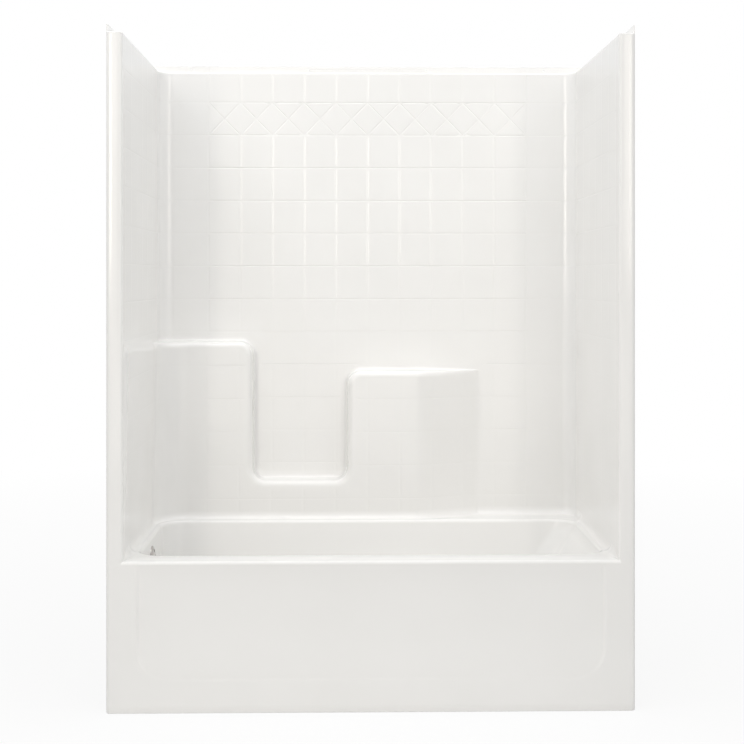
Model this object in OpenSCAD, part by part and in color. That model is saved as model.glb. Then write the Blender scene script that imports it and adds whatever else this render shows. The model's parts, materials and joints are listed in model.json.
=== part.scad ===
// Sectional fibreglass tub and shower combo: a bath moulded with its front
// apron, three wall sections that stand on its rim, their backing and framing,
// and the trip-lever waste and overflow that runs down behind the drain end.
// X runs to the right, Y to the back, Z up; the floor is Z = 0.

/* [Unit] */
// Width over the side nailing flanges
unit_w = 1524; // [1500:1:1700]
// Depth from the apron front to the back nailing flange
unit_d = 813; // [790:1:900]
// Height over the top nailing flange
unit_h = 1981; // [1900:1:2200]
// Width of one front column
column_w = 47; // [40:1:60]
// Laminate thickness
skin = 5; // [4:0.5:6]

/* [Walls] */
// From the back wall's face to the back nailing flange
back_gap = 26; // [24:1:40]
// Height of the nailing flange above the wall's top ledge
flange_h = 24; // [20:1:40]
// Thickness of the nailing flange
flange_t = 4; // [3:0.5:5]
// Radius of the upper back corners
corner_r = 45; // [30:1:60]
// Radius of the lower left back corner
low_corner_r = 110; // [90:1:120]
// Depth of each column's outer side return
return_d = 40; // [30:1:60]
// Outer edge radius of a column
edge_r = 11; // [8:1:14]
// Inner edge radius of a column
bead_r = 8; // [6.5:0.5:10]
// Radius along the top edge of the walls
top_r = 10; // [8:1:12]

/* [Moulded ledges] */
// Forward reach of the lower back wall
ledge_d = 80; // [60:1:90]
// Height of the upper left ledge
ledge_left_z = 1033; // [1010:1:1050]
// Height of the bottle recess floor
recess_z = 563; // [555:1:600]
// Height of the middle ledge
ledge_mid_z = 933; // [900:1:950]
// Left side of the bottle recess
recess_x0 = -392; // [-400:1:-360]
// Right side of the bottle recess
recess_x1 = -68; // [-80:1:-50]
// Where the middle ledge starts to taper back
taper_x0 = 170; // [150:1:190]
// Where the tapered face meets the back wall
taper_x1 = 380; // [360:1:400]
// Corner radius of the ledge outline
outline_r = 45; // [40:1:50]
// Radius along the ledge edges
nose_r = 20; // [16:1:22]

/* [Tile pattern] */
// Width of one moulded tile
tile_w = 109.35; // [105:0.05:112]
// Height of one moulded tile
tile_h = 112.57; // [105:0.01:114]
// Height of the top horizontal groove
tile_top_z = 1854.4; // [1830:0.1:1860]
// Groove width
groove_w = 5; // [3:0.5:6]
// Groove depth
groove_d = 1.5; // [1:0.1:2]

/* [Tub] */
// Height of the threshold and deck
rim_z = 436; // [420:1:440]
// Height of the joint between tub and walls
seam_z = 461; // [458:1:470]
// Width of the deck at the drain end
deck_left = 31; // [25:1:35]
// Width of the deck at the back rest end
deck_right = 27; // [25:1:115]
// Front side of the basin opening
basin_y0 = -311; // [-315:1:-305]
// Back side of the basin opening
basin_y1 = 264; // [250:1:268]
// Corner radius of the basin opening
basin_r = 75; // [60:1:85]
// How far the sloped back rest comes forward on its way down
rest_run = 188; // [150:1:240]
// Height of the basin floor
floor_z = 100; // [96:1:110]
// Radius at the foot of the basin walls
base_r = 60; // [50:1:65]
// Front radius of the threshold
threshold_r = 15; // [12:1:20]
// Half the width of the recessed apron panel
panel_half = 672; // [650:1:680]
// Bottom of the recessed apron panel
panel_z = 96; // [80:1:110]
// Depth of the recessed apron panel
panel_d = 10; // [8:1:12]
// Lower corner radius of the apron panel
panel_r = 85; // [70:1:95]

/* [Joints between sections] */
// Where the vertical joints stand, left and right of the middle
seam_x = 546.7; // [540:0.1:560]
// Outward reach of the joint flanges behind the skin
joint_reach = 30; // [28:1:32]
// Thickness of the foam tape in the joints
tape_t = 2; // [1.5:0.5:3]
// Shank radius of the joint bolts
bolt_r = 3; // [2.5:0.5:3]
// Spacing of the joint bolts along the back
bolt_pitch = 300; // [250:1:320]
// Radius of a nailing hole
nail_r = 2.5; // [2:0.5:3]
// Stud spacing used for the nailing holes
stud_pitch = 406.4; // [400:0.1:410]

/* [Backing and framing] */
// Plywood backing thickness
board_t = 12; // [10:1:12]
// Bonded floor board thickness
floor_t = 11; // [10:1:12]
// Width of the timber runners and battens
timber_w = 38; // [35:1:40]
// Height of the lower batten's middle behind the apron
batten_low_z = 190; // [160:1:220]
// Height of the upper batten's middle behind the apron
batten_high_z = 330; // [300:1:360]
// Spacing of the posts under the back deck
post_pitch = 400; // [300:1:500]

/* [Waste and overflow] */
// From the drain end of the basin to the drain's middle
drain_in = 132; // [125:1:140]
// Drain and overflow position front to back
waste_y = -28; // [-40:1:0]
// Height of the overflow plate's middle
over_z = 370; // [365:1:375]
// From the drain end of the basin out to the overflow tube's middle
tube_out = 43; // [42:1:45]
// Outer radius of the overflow tube and the shoe's arm
tube_r = 18.55; // [18:0.05:18.8]
// Outer radius of the tailpiece's plain end
tail_r = 19.05; // [18.95:0.05:19.15]
// Height of the tee's lower end above the floor
tee_low_z = 26; // [24:1:28]
// Radius of the overflow plate
plate_r = 39; // [37:1:41]
// Height of the overflow plate's dome
plate_h = 12; // [11:1:14]
// Centre height of the drain shoe's outlet
shoe_z = 62; // [61:1:64]
// Length of the lever's inner arm
arm_l = 28; // [26:1:28]
// Droop of the lever at rest, in degrees
droop = 20; // [16:1:22]

/* [Hidden] */
$fn = 64;
eps = 0.5;
half_w = unit_w / 2;
front_y = -unit_d / 2;
back_y = unit_d / 2;
open_x = half_w - column_w;
wall_y = back_y - back_gap;
top_z = unit_h - flange_h;
low_y = wall_y - ledge_d;
basin_x0 = -open_x + deck_left;
basin_x1 = open_x - deck_right;
rest_x = basin_x1 - rest_run;
drain_x = basin_x0 + drain_in;
tube_x = basin_x0 - tube_out;
taper_a = atan((taper_x1 - taper_x0) == 0 ? 1 : ledge_d / (taper_x1 - taper_x0));
taper_l = ledge_d / sin(taper_a);
bend_step = 0.3;
tile_rows = 13;
tile_cols = 10;
side_lines = 7;
side_line_y = 303.7;
flange_reach_x = open_x + skin + joint_reach;
wall_depth = wall_y - corner_r - front_y;
nose_more = 2;
ledge_more = 6;
stack = tape_t / 2 + skin;
washer_t = 1.5;
nut_t = 5;
head_t = 4;
hex_r = 5.7;
joint_hole_r = bolt_r + 0.3;
side_bolt_y = bolt_pitch / 2;
first_bolt_z = seam_z + 239;
upright_pitch = (top_z - seam_z) / 3 + 4 / 3;
tub_flange_z = seam_z - tape_t - skin;
lever_x = basin_x0 - 15;
mouth_x = basin_x0 - skin - tape_t;
tube_in_r = tube_r - 1.55;
socket_r = tube_r + 4.45;
socket_in_r = tube_r + 0.1;
slip_r = socket_r + 3.5;
nut_grip = 7;
nut_over = 11;
tail_z = 1;
screw_dz = 24;
hole_r = 31;
drain_hole_r = 24;
arm_lift = arm_l * sin(droop);
wire_x = lever_x - arm_l * (1 + cos(droop)) / 2;
gel = [0.93, 0.92, 0.89];
timber = [0.78, 0.64, 0.45];
steel = [0.72, 0.73, 0.75];
chromed = [0.85, 0.86, 0.88];
brassy = [0.78, 0.62, 0.3];
pipe_white = [0.9, 0.9, 0.88];
rubbery = [0.15, 0.15, 0.16];

// Plan of the room inside the walls above the ledges, grown outward by g
module air_upper(g) {
    translate([-open_x - g, front_y - 60])
        square([2 * (open_x + g), wall_depth + 60]);
    translate([-open_x + corner_r, front_y - 60])
        square([2 * (open_x - corner_r), wall_y + g - front_y + 60]);
    for (s = [-1, 1])
        translate([s * (open_x - corner_r), wall_y - corner_r])
            circle(r = corner_r + g);
}

// Plan of the room inside the walls below the ledges, grown outward by g
module air_lower(g) {
    shift = g * tan(taper_a / 2);
    turn_x = -open_x + low_corner_r;
    turn_y = low_y - low_corner_r;
    translate([-open_x - g, front_y - 60])
        square([low_corner_r + g + 10, turn_y - front_y + 60]);
    translate([turn_x, turn_y]) circle(r = low_corner_r + g);
    translate([turn_x, front_y - 60])
        square([open_x - corner_r - turn_x, low_y + g - front_y + 60]);
    polygon([[taper_x0 - shift, low_y + g - 20], [taper_x0 - shift, low_y + g],
        [taper_x1 - shift, wall_y + g], [open_x - corner_r, wall_y + g],
        [open_x - corner_r, low_y + g - 20]]);
    translate([open_x - corner_r, wall_y - corner_r]) circle(r = corner_r + g);
    translate([open_x - corner_r - 10, front_y - 60])
        square([corner_r + g + 10, wall_depth + 60]);
}

// Plan of a hollow post with rounded front corners, from x0 to x1
module post_plan(x0, x1, r0, r1, g) {
    y1 = front_y + return_d + (g > 0 ? eps : 0);
    translate([x0 + r0, front_y + r0]) circle(r = r0 - g);
    translate([x1 - r1, front_y + r1]) circle(r = r1 - g);
    translate([x0 + r0, front_y + g])
        square([x1 - r1 - x0 - r0, y1 - front_y - g]);
    translate([x0 + g, front_y + r0])
        square([r0 - g + eps, y1 - front_y - r0]);
    translate([x1 - r1 - eps, front_y + r1])
        square([r1 - g + eps, y1 - front_y - r1]);
}

// Plan of the right front column's skin
module column_plan() {
    difference() {
        post_plan(open_x, half_w, bead_r, edge_r, 0);
        post_plan(open_x, half_w, bead_r, edge_r, skin);
    }
}

// Plan of the apron's skin with its side returns
module apron_plan(g) {
    difference() {
        post_plan(-half_w, half_w, edge_r, edge_r, 0);
        post_plan(-half_w, half_w, edge_r, edge_r, g);
    }
}

// Plan of everything behind the columns, used to trim the wall skins
module behind_columns() {
    translate([-half_w, front_y + return_d - eps])
        square([unit_w, back_y - front_y - return_d + eps]);
}

module wall_plan_upper() {
    intersection() {
        difference() {
            air_upper(skin);
            air_upper(0);
        }
        behind_columns();
    }
    for (s = [0, 1]) mirror([s, 0]) column_plan();
}

module wall_plan_lower() {
    intersection() {
        difference() {
            air_lower(skin);
            air_lower(0);
        }
        behind_columns();
    }
    for (s = [0, 1]) mirror([s, 0]) column_plan();
}

// Plan of the out-turned joint flange that follows the lower skin
module joint_plan() {
    intersection() {
        difference() {
            air_lower(skin + joint_reach);
            air_lower(skin - eps);
        }
        translate([-flange_reach_x, front_y + return_d + skin])
            square([2 * flange_reach_x, back_y - front_y - return_d - skin]);
    }
}

// Flat ledge round the top of the walls, out to the nailing flange
module top_plan() {
    difference() {
        translate([-half_w, front_y + edge_r])
            square([unit_w, unit_d - edge_r]);
        air_upper(0);
    }
    for (s = [0, 1]) mirror([s, 0]) post_plan(open_x, half_w, bead_r, edge_r, 0);
}

// Nailing flange standing up from the outer edge of the top ledge
module nailing_plan() {
    difference() {
        translate([-half_w, front_y + edge_r])
            square([unit_w, unit_d - edge_r]);
        translate([-half_w + flange_t, front_y - eps])
            square([unit_w - 2 * flange_t, unit_d - flange_t + eps]);
    }
}

// Room that the rounded top edge takes away, in section: out, then up
module edge_section(r) {
    difference() {
        square([r + eps, r + eps]);
        circle(r = r);
    }
}

// Tool that rounds the walls' top edge on both sides and round the corners
module top_edge_cut() {
    for (s = [-1, 1]) {
        translate([s * (open_x + top_r), front_y + return_d, top_z - top_r])
            rotate([90, 0, 0]) mirror([s > 0 ? 1 : 0, 0, 0])
            translate([0, 0, -wall_depth + return_d])
            linear_extrude(wall_depth - return_d) edge_section(top_r);
    }
    translate([-open_x + corner_r, wall_y + top_r, top_z - top_r])
        rotate([90, 0, 90]) mirror([1, 0, 0])
        linear_extrude(2 * (open_x - corner_r)) edge_section(top_r);
}

// Every groove line of the back wall, seen from the front
module groove_lines() {
    for (j = [0 : tile_rows - 1])
        translate([-open_x, tile_top_z - j * tile_h - groove_w / 2])
            square([2 * open_x, groove_w]);
    for (i = [0 : tile_cols])
        translate([(i - tile_cols / 2) * tile_w - groove_w / 2, seam_z + skin])
            square([groove_w, top_z - top_r - seam_z - skin]);
}

// Crossed diagonals in the top row of tiles
module lattice_lines() {
    len = norm([tile_w, tile_h]);
    for (i = [0 : tile_cols - 1]) for (s = [-1, 1])
        translate([(i + 0.5 - tile_cols / 2) * tile_w, tile_top_z - tile_h / 2])
            rotate(s * atan(tile_h / tile_w))
            square([len, groove_w], center = true);
}

// Front view of the ledge form, drawn in by g, with its rounded outline
module ledge_outline(g) {
    r_out = outline_r - g;
    r_in = outline_r + g;
    base = seam_z - 60;
    // upper left block with one rounded corner
    translate([-seam_x - 60, base])
        square([recess_x0 - outline_r + seam_x + 60, ledge_left_z - g - base]);
    translate([recess_x0 - outline_r, base])
        square([r_out, ledge_left_z - outline_r - base]);
    translate([recess_x0 - outline_r, ledge_left_z - outline_r]) circle(r = r_out);
    // floor of the bottle recess with its two rounded inner corners
    translate([recess_x0 - outline_r, base])
        square([recess_x1 - recess_x0 + 2 * outline_r, recess_z - g - base]);
    for (s = [0, 1]) translate([s == 0 ? recess_x0 - g : recess_x1 + g, recess_z - g])
        mirror([s, 0]) difference() {
            translate([-eps, -eps]) square(r_in + eps);
            translate([r_in, r_in]) circle(r = r_in);
        }
    // middle block with one rounded corner
    translate([recess_x1 + outline_r, base])
        square([taper_x0 - recess_x1 - outline_r, ledge_mid_z - g - base]);
    translate([recess_x1 + g, base])
        square([r_out, ledge_mid_z - outline_r - base]);
    translate([recess_x1 + outline_r, ledge_mid_z - outline_r]) circle(r = r_out);
}

// Solid of the protruding ledges, drawn in by g on every face
module ledge_body(g) {
    r = nose_r - g;
    axis_y = low_y + nose_r;
    deep = wall_y + skin + eps - axis_y;
    mid_y = ledge_mid_z - nose_r;
    translate([0, axis_y + deep, 0]) rotate([90, 0, 0])
        linear_extrude(deep) ledge_outline(g);
    translate([0, axis_y + eps, 0]) rotate([90, 0, 0])
        linear_extrude(r + eps) ledge_outline(nose_r);
    // rounded edges: straight runs
    translate([-seam_x - 60, axis_y, ledge_left_z - nose_r]) rotate([0, 90, 0])
        cylinder(r = r, h = recess_x0 - outline_r + seam_x + 60);
    translate([recess_x0 - nose_r, axis_y, recess_z + outline_r])
        cylinder(r = r, h = ledge_left_z - recess_z - 2 * outline_r);
    translate([recess_x0 + outline_r, axis_y, recess_z - nose_r]) rotate([0, 90, 0])
        cylinder(r = r, h = recess_x1 - recess_x0 - 2 * outline_r);
    translate([recess_x1 + nose_r, axis_y, recess_z + outline_r])
        cylinder(r = r, h = ledge_mid_z - recess_z - 2 * outline_r);
    translate([recess_x1 + outline_r, axis_y, mid_y]) rotate([0, 90, 0])
        cylinder(r = r, h = taper_x0 - recess_x1 - outline_r);
    // rounded edges: outer and inner corners
    for (p = [[recess_x0 - outline_r, ledge_left_z], [recess_x1 + outline_r, ledge_mid_z]])
        translate([p[0], axis_y, p[1] - outline_r]) rotate([90, 0, 0])
            rotate_extrude() translate([outline_r - nose_r, 0]) circle(r = r);
    for (s = [0, 1])
        translate([s == 0 ? recess_x0 + outline_r : recess_x1 - outline_r, axis_y,
                recess_z + outline_r])
            rotate([90, 0, 0]) rotate([0, 0, s == 0 ? 180 : -90])
            rotate_extrude(angle = 90)
            translate([outline_r + nose_r, 0]) circle(r = r);
    // tapered end, turned back towards the wall
    translate([taper_x0, low_y + bend_step, seam_z - 60]) rotate([0, 0, taper_a]) {
        tall = mid_y - bend_step - seam_z + 60;
        if (g > 0) {
            translate([0, g, 0])
                cube([taper_l + 60, ledge_d, tall + nose_r - 12]);
        } else {
            cube([taper_l + 60, nose_r, tall]);
            translate([0, nose_r, 0]) cube([taper_l + 60, ledge_d, tall + nose_r]);
            translate([0, nose_r, tall]) rotate([0, 90, 0])
                cylinder(r = nose_r, h = taper_l + 60);
        }
    }
}

// Cut away what the ledge body has behind the wall skin or past the joints
module back_trim() {
    translate([-seam_x, front_y, seam_z])
        cube([2 * seam_x, wall_y + skin - front_y, top_z - seam_z]);
}

module back_wall_section() {
    color(gel) difference() {
        union() {
            intersection() {
                difference() {
                    union() {
                        translate([-seam_x, wall_y, seam_z])
                            cube([2 * seam_x, skin, top_z - seam_z]);
                        ledge_body(0);
                    }
                    difference() {
                        ledge_body(skin);
                        translate([taper_x1, front_y, 0])
                            cube([unit_w, unit_d, unit_h]);
                    }
                }
                back_trim();
            }
            // thick nose under the rounded top edge, top ledge, nailing flange
            translate([-seam_x, wall_y, top_z - top_r - nose_more])
                cube([2 * seam_x, top_r + nose_more, top_r + nose_more]);
            translate([-seam_x, wall_y, top_z - skin])
                cube([2 * seam_x, back_y - wall_y, skin]);
            translate([-seam_x, back_y - flange_t, top_z - skin])
                cube([2 * seam_x, flange_t, flange_h + skin]);
            // bottom joint flange and the two upright joint flanges
            intersection() {
                translate([0, 0, seam_z]) linear_extrude(skin) joint_plan();
                translate([-seam_x, front_y, 0]) cube([2 * seam_x, unit_d, unit_h]);
            }
            for (s = [-1, 1])
                translate([s * (seam_x - tape_t / 2 - skin / 2) - skin / 2,
                        s < 0 ? low_y + skin - eps : wall_y + skin - eps, seam_z])
                    cube([skin, back_y - (s < 0 ? low_y : wall_y) - skin + eps,
                        (s < 0 ? ledge_left_z - nose_r : top_z) - seam_z]);
            translate([-seam_x + tape_t / 2, wall_y + skin - eps, seam_z])
                cube([skin, back_y - wall_y - skin + eps, top_z - seam_z]);
        }
        top_edge_cut();
        back_grooves();
        joint_holes();
        nailing_holes();
    }
}

// Grooves cut into the wall face, the ledge faces and the tapered face
module back_grooves() {
    translate([0, wall_y + groove_d, 0]) rotate([90, 0, 0])
        linear_extrude(groove_d + eps) difference() {
            groove_lines();
            ledge_outline(-skin);
            translate([taper_x0 - eps, seam_z - 60])
                square([taper_x1 - taper_x0 + 30, ledge_mid_z + skin - seam_z + 60]);
        }
    translate([0, wall_y + groove_d, 0]) rotate([90, 0, 0])
        linear_extrude(groove_d + eps) lattice_lines();
    translate([0, low_y + groove_d, 0]) rotate([90, 0, 0])
        linear_extrude(groove_d + eps) intersection() {
            groove_lines();
            ledge_outline(nose_r);
        }
}

// Round holes for the joint bolts, through every flange they clamp
module joint_holes() {
    at_joint_bolts() translate([0, 0, -stack - eps])
        cylinder(r = joint_hole_r, h = 2 * (stack + eps), $fn = 32);
}

// Nailing holes at stud spacing in the top flange
module nailing_holes() {
    hole_z = top_z + flange_h / 2;
    for (x = [-1.5 : 1 : 1.5])
        translate([x * stud_pitch, back_y + eps, hole_z]) rotate([90, 0, 0])
            cylinder(r = nail_r, h = flange_t + 2 * eps, $fn = 32);
    for (s = [-1, 1]) for (y = [-0.5, 0.5])
        translate([s * half_w - flange_t - eps, y * stud_pitch, hole_z])
            rotate([0, 90, 0])
            cylinder(r = nail_r, h = 2 * (flange_t + eps), $fn = 32);
    for (s = [-1, 1]) for (z = [tile_top_z, tile_top_z - 7 * tile_h])
        translate([s * half_w - skin - eps, front_y + return_d - 12, z])
            rotate([0, 90, 0])
            cylinder(r = nail_r, h = 2 * (skin + eps), $fn = 32);
}

// One end section, left for s = -1 and right for s = 1
module end_section(s) {
    low_face = s < 0 ? low_y : wall_y;
    difference() {
        intersection() {
            union() {
                translate([0, 0, seam_z])
                    linear_extrude(ledge_left_z - seam_z) wall_plan_lower();
                translate([0, 0, ledge_left_z - skin])
                    linear_extrude(top_z - ledge_left_z + skin) wall_plan_upper();
                if (s < 0) ledge_corner();
                translate([0, 0, top_z - skin]) linear_extrude(skin) top_plan();
                translate([0, 0, top_z - top_r - nose_more])
                    linear_extrude(top_r + nose_more) intersection() {
                        difference() {
                            air_upper(top_r + nose_more);
                            air_upper(0);
                        }
                        behind_columns();
                    }
                translate([0, 0, top_z - skin])
                    linear_extrude(flange_h + skin) nailing_plan();
                translate([0, 0, seam_z]) linear_extrude(skin) joint_plan();
                for (b = [[low_face, seam_z, ledge_left_z - nose_r],
                        [wall_y, seam_z, top_z]])
                    translate([s * (seam_x + tape_t / 2 + skin / 2) - skin / 2,
                            b[0] + skin - eps, b[1]])
                        cube([skin, back_y - b[0] - skin + eps, b[2] - b[1]]);
            }
            translate([s < 0 ? -half_w : seam_x, front_y, seam_z])
                cube([half_w - seam_x, unit_d, unit_h]);
        }
        top_edge_cut();
        if (s < 0) ledge_corner_cut();
        for (j = [0 : tile_rows - 1]) {
            z = tile_top_z - j * tile_h - groove_w / 2;
            translate([0, 0, z]) linear_extrude(groove_w) intersection() {
                if (z > ledge_left_z) air_upper(groove_d);
                else air_lower(groove_d);
                behind_columns();
            }
        }
        for (k = [0 : side_lines - 1])
            translate([s * open_x - groove_d, side_line_y - k * tile_w - groove_w / 2,
                    seam_z + skin])
                cube([2 * groove_d, groove_w, top_z - top_r - seam_z - skin]);
        joint_holes();
        nailing_holes();
    }
}

// Ledge in the left corner: its flat top and the thick nose below its edge
module ledge_corner() {
    translate([0, 0, ledge_left_z - skin]) linear_extrude(skin)
        intersection() {
            difference() {
                air_upper(skin);
                air_lower(0);
            }
            behind_columns();
        }
    translate([0, 0, ledge_left_z - nose_r - ledge_more])
        linear_extrude(nose_r + ledge_more) intersection() {
            difference() {
                air_lower(nose_r + ledge_more);
                air_lower(0);
            }
            air_upper(skin);
            behind_columns();
        }
}

// Tool that rounds the ledge edge in the left corner, kept off the wall skin
module ledge_corner_cut() {
    turn_x = -open_x + low_corner_r;
    turn_y = low_y - low_corner_r;
    ring_r = low_corner_r + nose_r;
    intersection() {
        union() {
            translate([turn_x, turn_y, ledge_left_z - nose_r]) rotate([0, 0, 90])
                rotate_extrude(angle = 90) translate([ring_r, 0])
                mirror([1, 0]) edge_section(nose_r);
            translate([turn_x, low_y + nose_r, ledge_left_z - nose_r])
                rotate([90, 0, 90]) mirror([1, 0, 0])
                linear_extrude(seam_x) edge_section(nose_r);
        }
        translate([0, 0, ledge_left_z - nose_r - eps])
            linear_extrude(nose_r + 2 * eps) air_upper(0);
    }
}

module left_wall_section() {
    color(gel) end_section(-1);
}

module right_wall_section() {
    color(gel) end_section(1);
}

// Body of the basin, grown outward by g, open upward by up
module basin_body(g, up) {
    hull() {
        for (x = [basin_x0 + basin_r, basin_x1 - basin_r])
            for (y = [basin_y0 + basin_r, basin_y1 - basin_r])
                translate([x, y, rim_z - 1])
                    cylinder(r = basin_r + g, h = 1 + up, $fn = 32);
        for (x = [basin_x0 + base_r, rest_x - base_r])
            for (y = [basin_y0 + basin_r + 46, basin_y1 - basin_r - 34])
                translate([x, y, floor_z - g + (base_r + g) * cos(180 / 32)])
                    sphere(r = base_r + g, $fn = 32);
    }
}

// Front view of the recessed apron panel, grown by g
module panel_outline(g) {
    lip = rim_z - threshold_r;
    translate([-panel_half - g, panel_z + panel_r])
        square([2 * (panel_half + g), lip + g - panel_z - panel_r]);
    translate([-panel_half + panel_r, panel_z - g])
        square([2 * (panel_half - panel_r), lip + 2 * g - panel_z]);
    for (s = [-1, 1]) translate([s * (panel_half - panel_r), panel_z + panel_r])
        circle(r = panel_r + g);
}

module tub_section() {
    lip = rim_z - threshold_r;
    span = open_x + bead_r;
    color(gel) difference() {
        union() {
            basin_body(skin, 0);
            // deck and threshold with its rounded front
            translate([0, 0, rim_z - skin]) linear_extrude(skin) intersection() {
                air_lower(skin);
                translate([-open_x - skin, front_y + threshold_r])
                    square([2 * (open_x + skin), unit_d]);
            }
            translate([-span, front_y + threshold_r, lip]) rotate([0, 90, 0])
                difference() {
                    cylinder(r = threshold_r, h = 2 * span);
                    translate([0, 0, -eps])
                        cylinder(r = threshold_r - skin, h = 2 * span + 2 * eps);
                    translate([0, -threshold_r - eps, -eps])
                        cube([threshold_r + eps, 2 * threshold_r + 2 * eps,
                            2 * span + 2 * eps]);
                    translate([-threshold_r - eps, 0, -eps])
                        cube([2 * threshold_r, threshold_r + eps, 2 * span + 2 * eps]);
                }
            // apron with its recessed panel and inward foot
            linear_extrude(lip) apron_plan(skin);
            translate([-half_w + edge_r, front_y + eps, 0])
                cube([unit_w - 2 * edge_r, return_d / 2, skin]);
            translate([0, front_y + panel_d + skin, 0]) rotate([90, 0, 0])
                linear_extrude(panel_d + skin) panel_outline(skin);
            // column stubs, upstand below the walls and its joint flange
            for (s = [0, 1]) mirror([s, 0, 0]) translate([0, 0, lip - skin])
                linear_extrude(seam_z - lip + skin) column_plan();
            translate([0, 0, rim_z - skin]) linear_extrude(seam_z - rim_z + skin)
                intersection() {
                    difference() {
                        air_lower(skin);
                        air_lower(0);
                    }
                    behind_columns();
                }
            translate([0, 0, tub_flange_z]) linear_extrude(skin) joint_plan();
        }
        basin_body(0, 2);
        translate([0, front_y + panel_d, 0]) rotate([90, 0, 0])
            linear_extrude(panel_d + eps) panel_outline(0);
        translate([drain_x, waste_y, floor_z - skin - 1])
            cylinder(r = drain_hole_r, h = skin + 2);
        translate([basin_x0 - skin - 1, waste_y, over_z]) rotate([0, 90, 0])
            cylinder(r = hole_r, h = skin + 2);
        joint_holes();
    }
}

// Every joint bolt's place, with its head end along its own Z
module at_joint_bolts() {
    tape_z = seam_z - tape_t / 2;
    back_mid = back_y - (back_gap - skin) / 2;
    for (x = [-1.5 : 1 : 0.5]) translate([x * bolt_pitch, low_y + skin + joint_reach / 2 - 1,
        tape_z]) children();
    translate([1.5 * bolt_pitch, back_mid, tape_z]) children();
    for (s = [-1, 1]) for (y = [-side_bolt_y - bolt_pitch / 6, side_bolt_y - bolt_pitch / 6])
        translate([s * (open_x + skin + joint_reach / 2), y, tape_z]) children();
    for (s = [-1, 1]) for (i = [0 : 2])
        translate([s * seam_x, back_mid, first_bolt_z + i * upright_pitch]) rotate([0, -s * 90, 0]) children();
}

module hex_ring(r, hole, h) {
    difference() {
        cylinder(r = r, h = h, $fn = 6);
        translate([0, 0, -eps]) cylinder(r = hole, h = h + 2 * eps, $fn = 32);
    }
}

module seam_gasket() {
    color(rubbery) difference() {
        union() {
            translate([0, 0, seam_z - tape_t]) linear_extrude(tape_t)
                difference() {
                    joint_plan();
                    air_lower(skin);
                    for (s = [-1, 1]) translate([s * seam_x, back_y])
                        square([tape_t, 4 * unit_d], center = true);
                }
            for (s = [-1, 1]) {
                face = s < 0 ? low_y + skin : wall_y + skin;
                translate([s * seam_x - tape_t / 2, wall_y + skin, seam_z + skin])
                    cube([tape_t, back_y - wall_y - skin,
                        top_z - top_r - nose_more - seam_z - skin]);
                if (s < 0)
                    translate([-seam_x - tape_t / 2, face, seam_z + skin])
                        cube([tape_t, back_y - face,
                            ledge_left_z - nose_r - ledge_more - seam_z - skin]);
            }
        }
        joint_holes();
    }
}

module seam_bolts() {
    color(steel) at_joint_bolts() {
        translate([0, 0, -stack - washer_t - nut_t - 2])
            cylinder(r = bolt_r - 0.02, h = 2 * stack + 2 * washer_t + nut_t + 2 + eps,
                $fn = 32);
        translate([0, 0, stack + washer_t]) cylinder(r = hex_r, h = head_t, $fn = 6);
    }
}

module seam_washers() {
    color(steel) at_joint_bolts() for (z = [-stack - washer_t, stack])
        translate([0, 0, z]) difference() {
            cylinder(r = hex_r + 0.8, h = washer_t, $fn = 32);
            translate([0, 0, -eps])
                cylinder(r = joint_hole_r, h = washer_t + 2 * eps, $fn = 32);
        }
}

module seam_nuts() {
    color(steel) at_joint_bolts() translate([0, 0, -stack - washer_t - nut_t])
        hex_ring(hex_r, bolt_r + 0.02, nut_t);
}

// Boards that back the walls up, bonded to the rear of the skins
module back_wall_board() {
    color(timber) translate([-seam_x + 17, wall_y + skin, seam_z + 19])
        cube([2 * seam_x - 34, board_t, top_z - top_r - seam_z - 26]);
}

module side_board() {
    translate([open_x + skin, front_y + return_d + skin + 2, seam_z + 19])
        cube([board_t, wall_depth - return_d - 8, top_z - top_r - seam_z - 26]);
}

module left_wall_board() {
    color(timber) mirror([1, 0, 0]) side_board();
}

module right_wall_board() {
    color(timber) side_board();
}

// Floor board under the basin with a cut-out for the drain shoe
module floor_board() {
    x0 = basin_x0 + base_r;
    color(timber) difference() {
        translate([x0, basin_y0 + basin_r + 46, floor_z - skin - floor_t])
            cube([rest_x - base_r - x0,
                basin_y1 - basin_y0 - 2 * basin_r - 80, floor_t]);
        translate([drain_x, waste_y, floor_z - skin - floor_t - eps])
            cylinder(r = 44, h = floor_t + 2 * eps);
        translate([x0 - eps, waste_y - 44, floor_z - skin - floor_t - eps])
            cube([drain_x - x0 + eps, 88, floor_t + 2 * eps]);
    }
}

module floor_runners() {
    x0 = basin_x0 + base_r;
    color(timber) for (y = [-150, waste_y + 90, 125])
        translate([x0 + 10, y - timber_w / 2, 0])
            cube([rest_x - base_r - x0 - 20, timber_w, floor_z - skin - floor_t]);
}

// Stiffening battens bonded behind the recessed apron panel
module apron_battens() {
    color(timber) for (z = [batten_low_z, batten_high_z])
        translate([-panel_half + panel_r, front_y + panel_d + skin, z - timber_w / 2])
            cube([2 * (panel_half - panel_r), timber_w / 2, timber_w]);
}

// Timber posts under the threshold and the back deck
module deck_posts() {
    color(timber) {
        for (s = [-1, 1])
            translate([s * (open_x + timber_w / 4) - timber_w / 2,
                    front_y + panel_d + skin + 4, skin])
                cube([timber_w, 1.4 * timber_w, rim_z - threshold_r - 2 * skin]);
        for (i = [-1 : 1])
            translate([i * post_pitch - timber_w / 2, basin_y1 + skin + 2, 0])
                cube([timber_w, low_y - basin_y1 - skin - 8, rim_z - skin]);
    }
}

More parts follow.
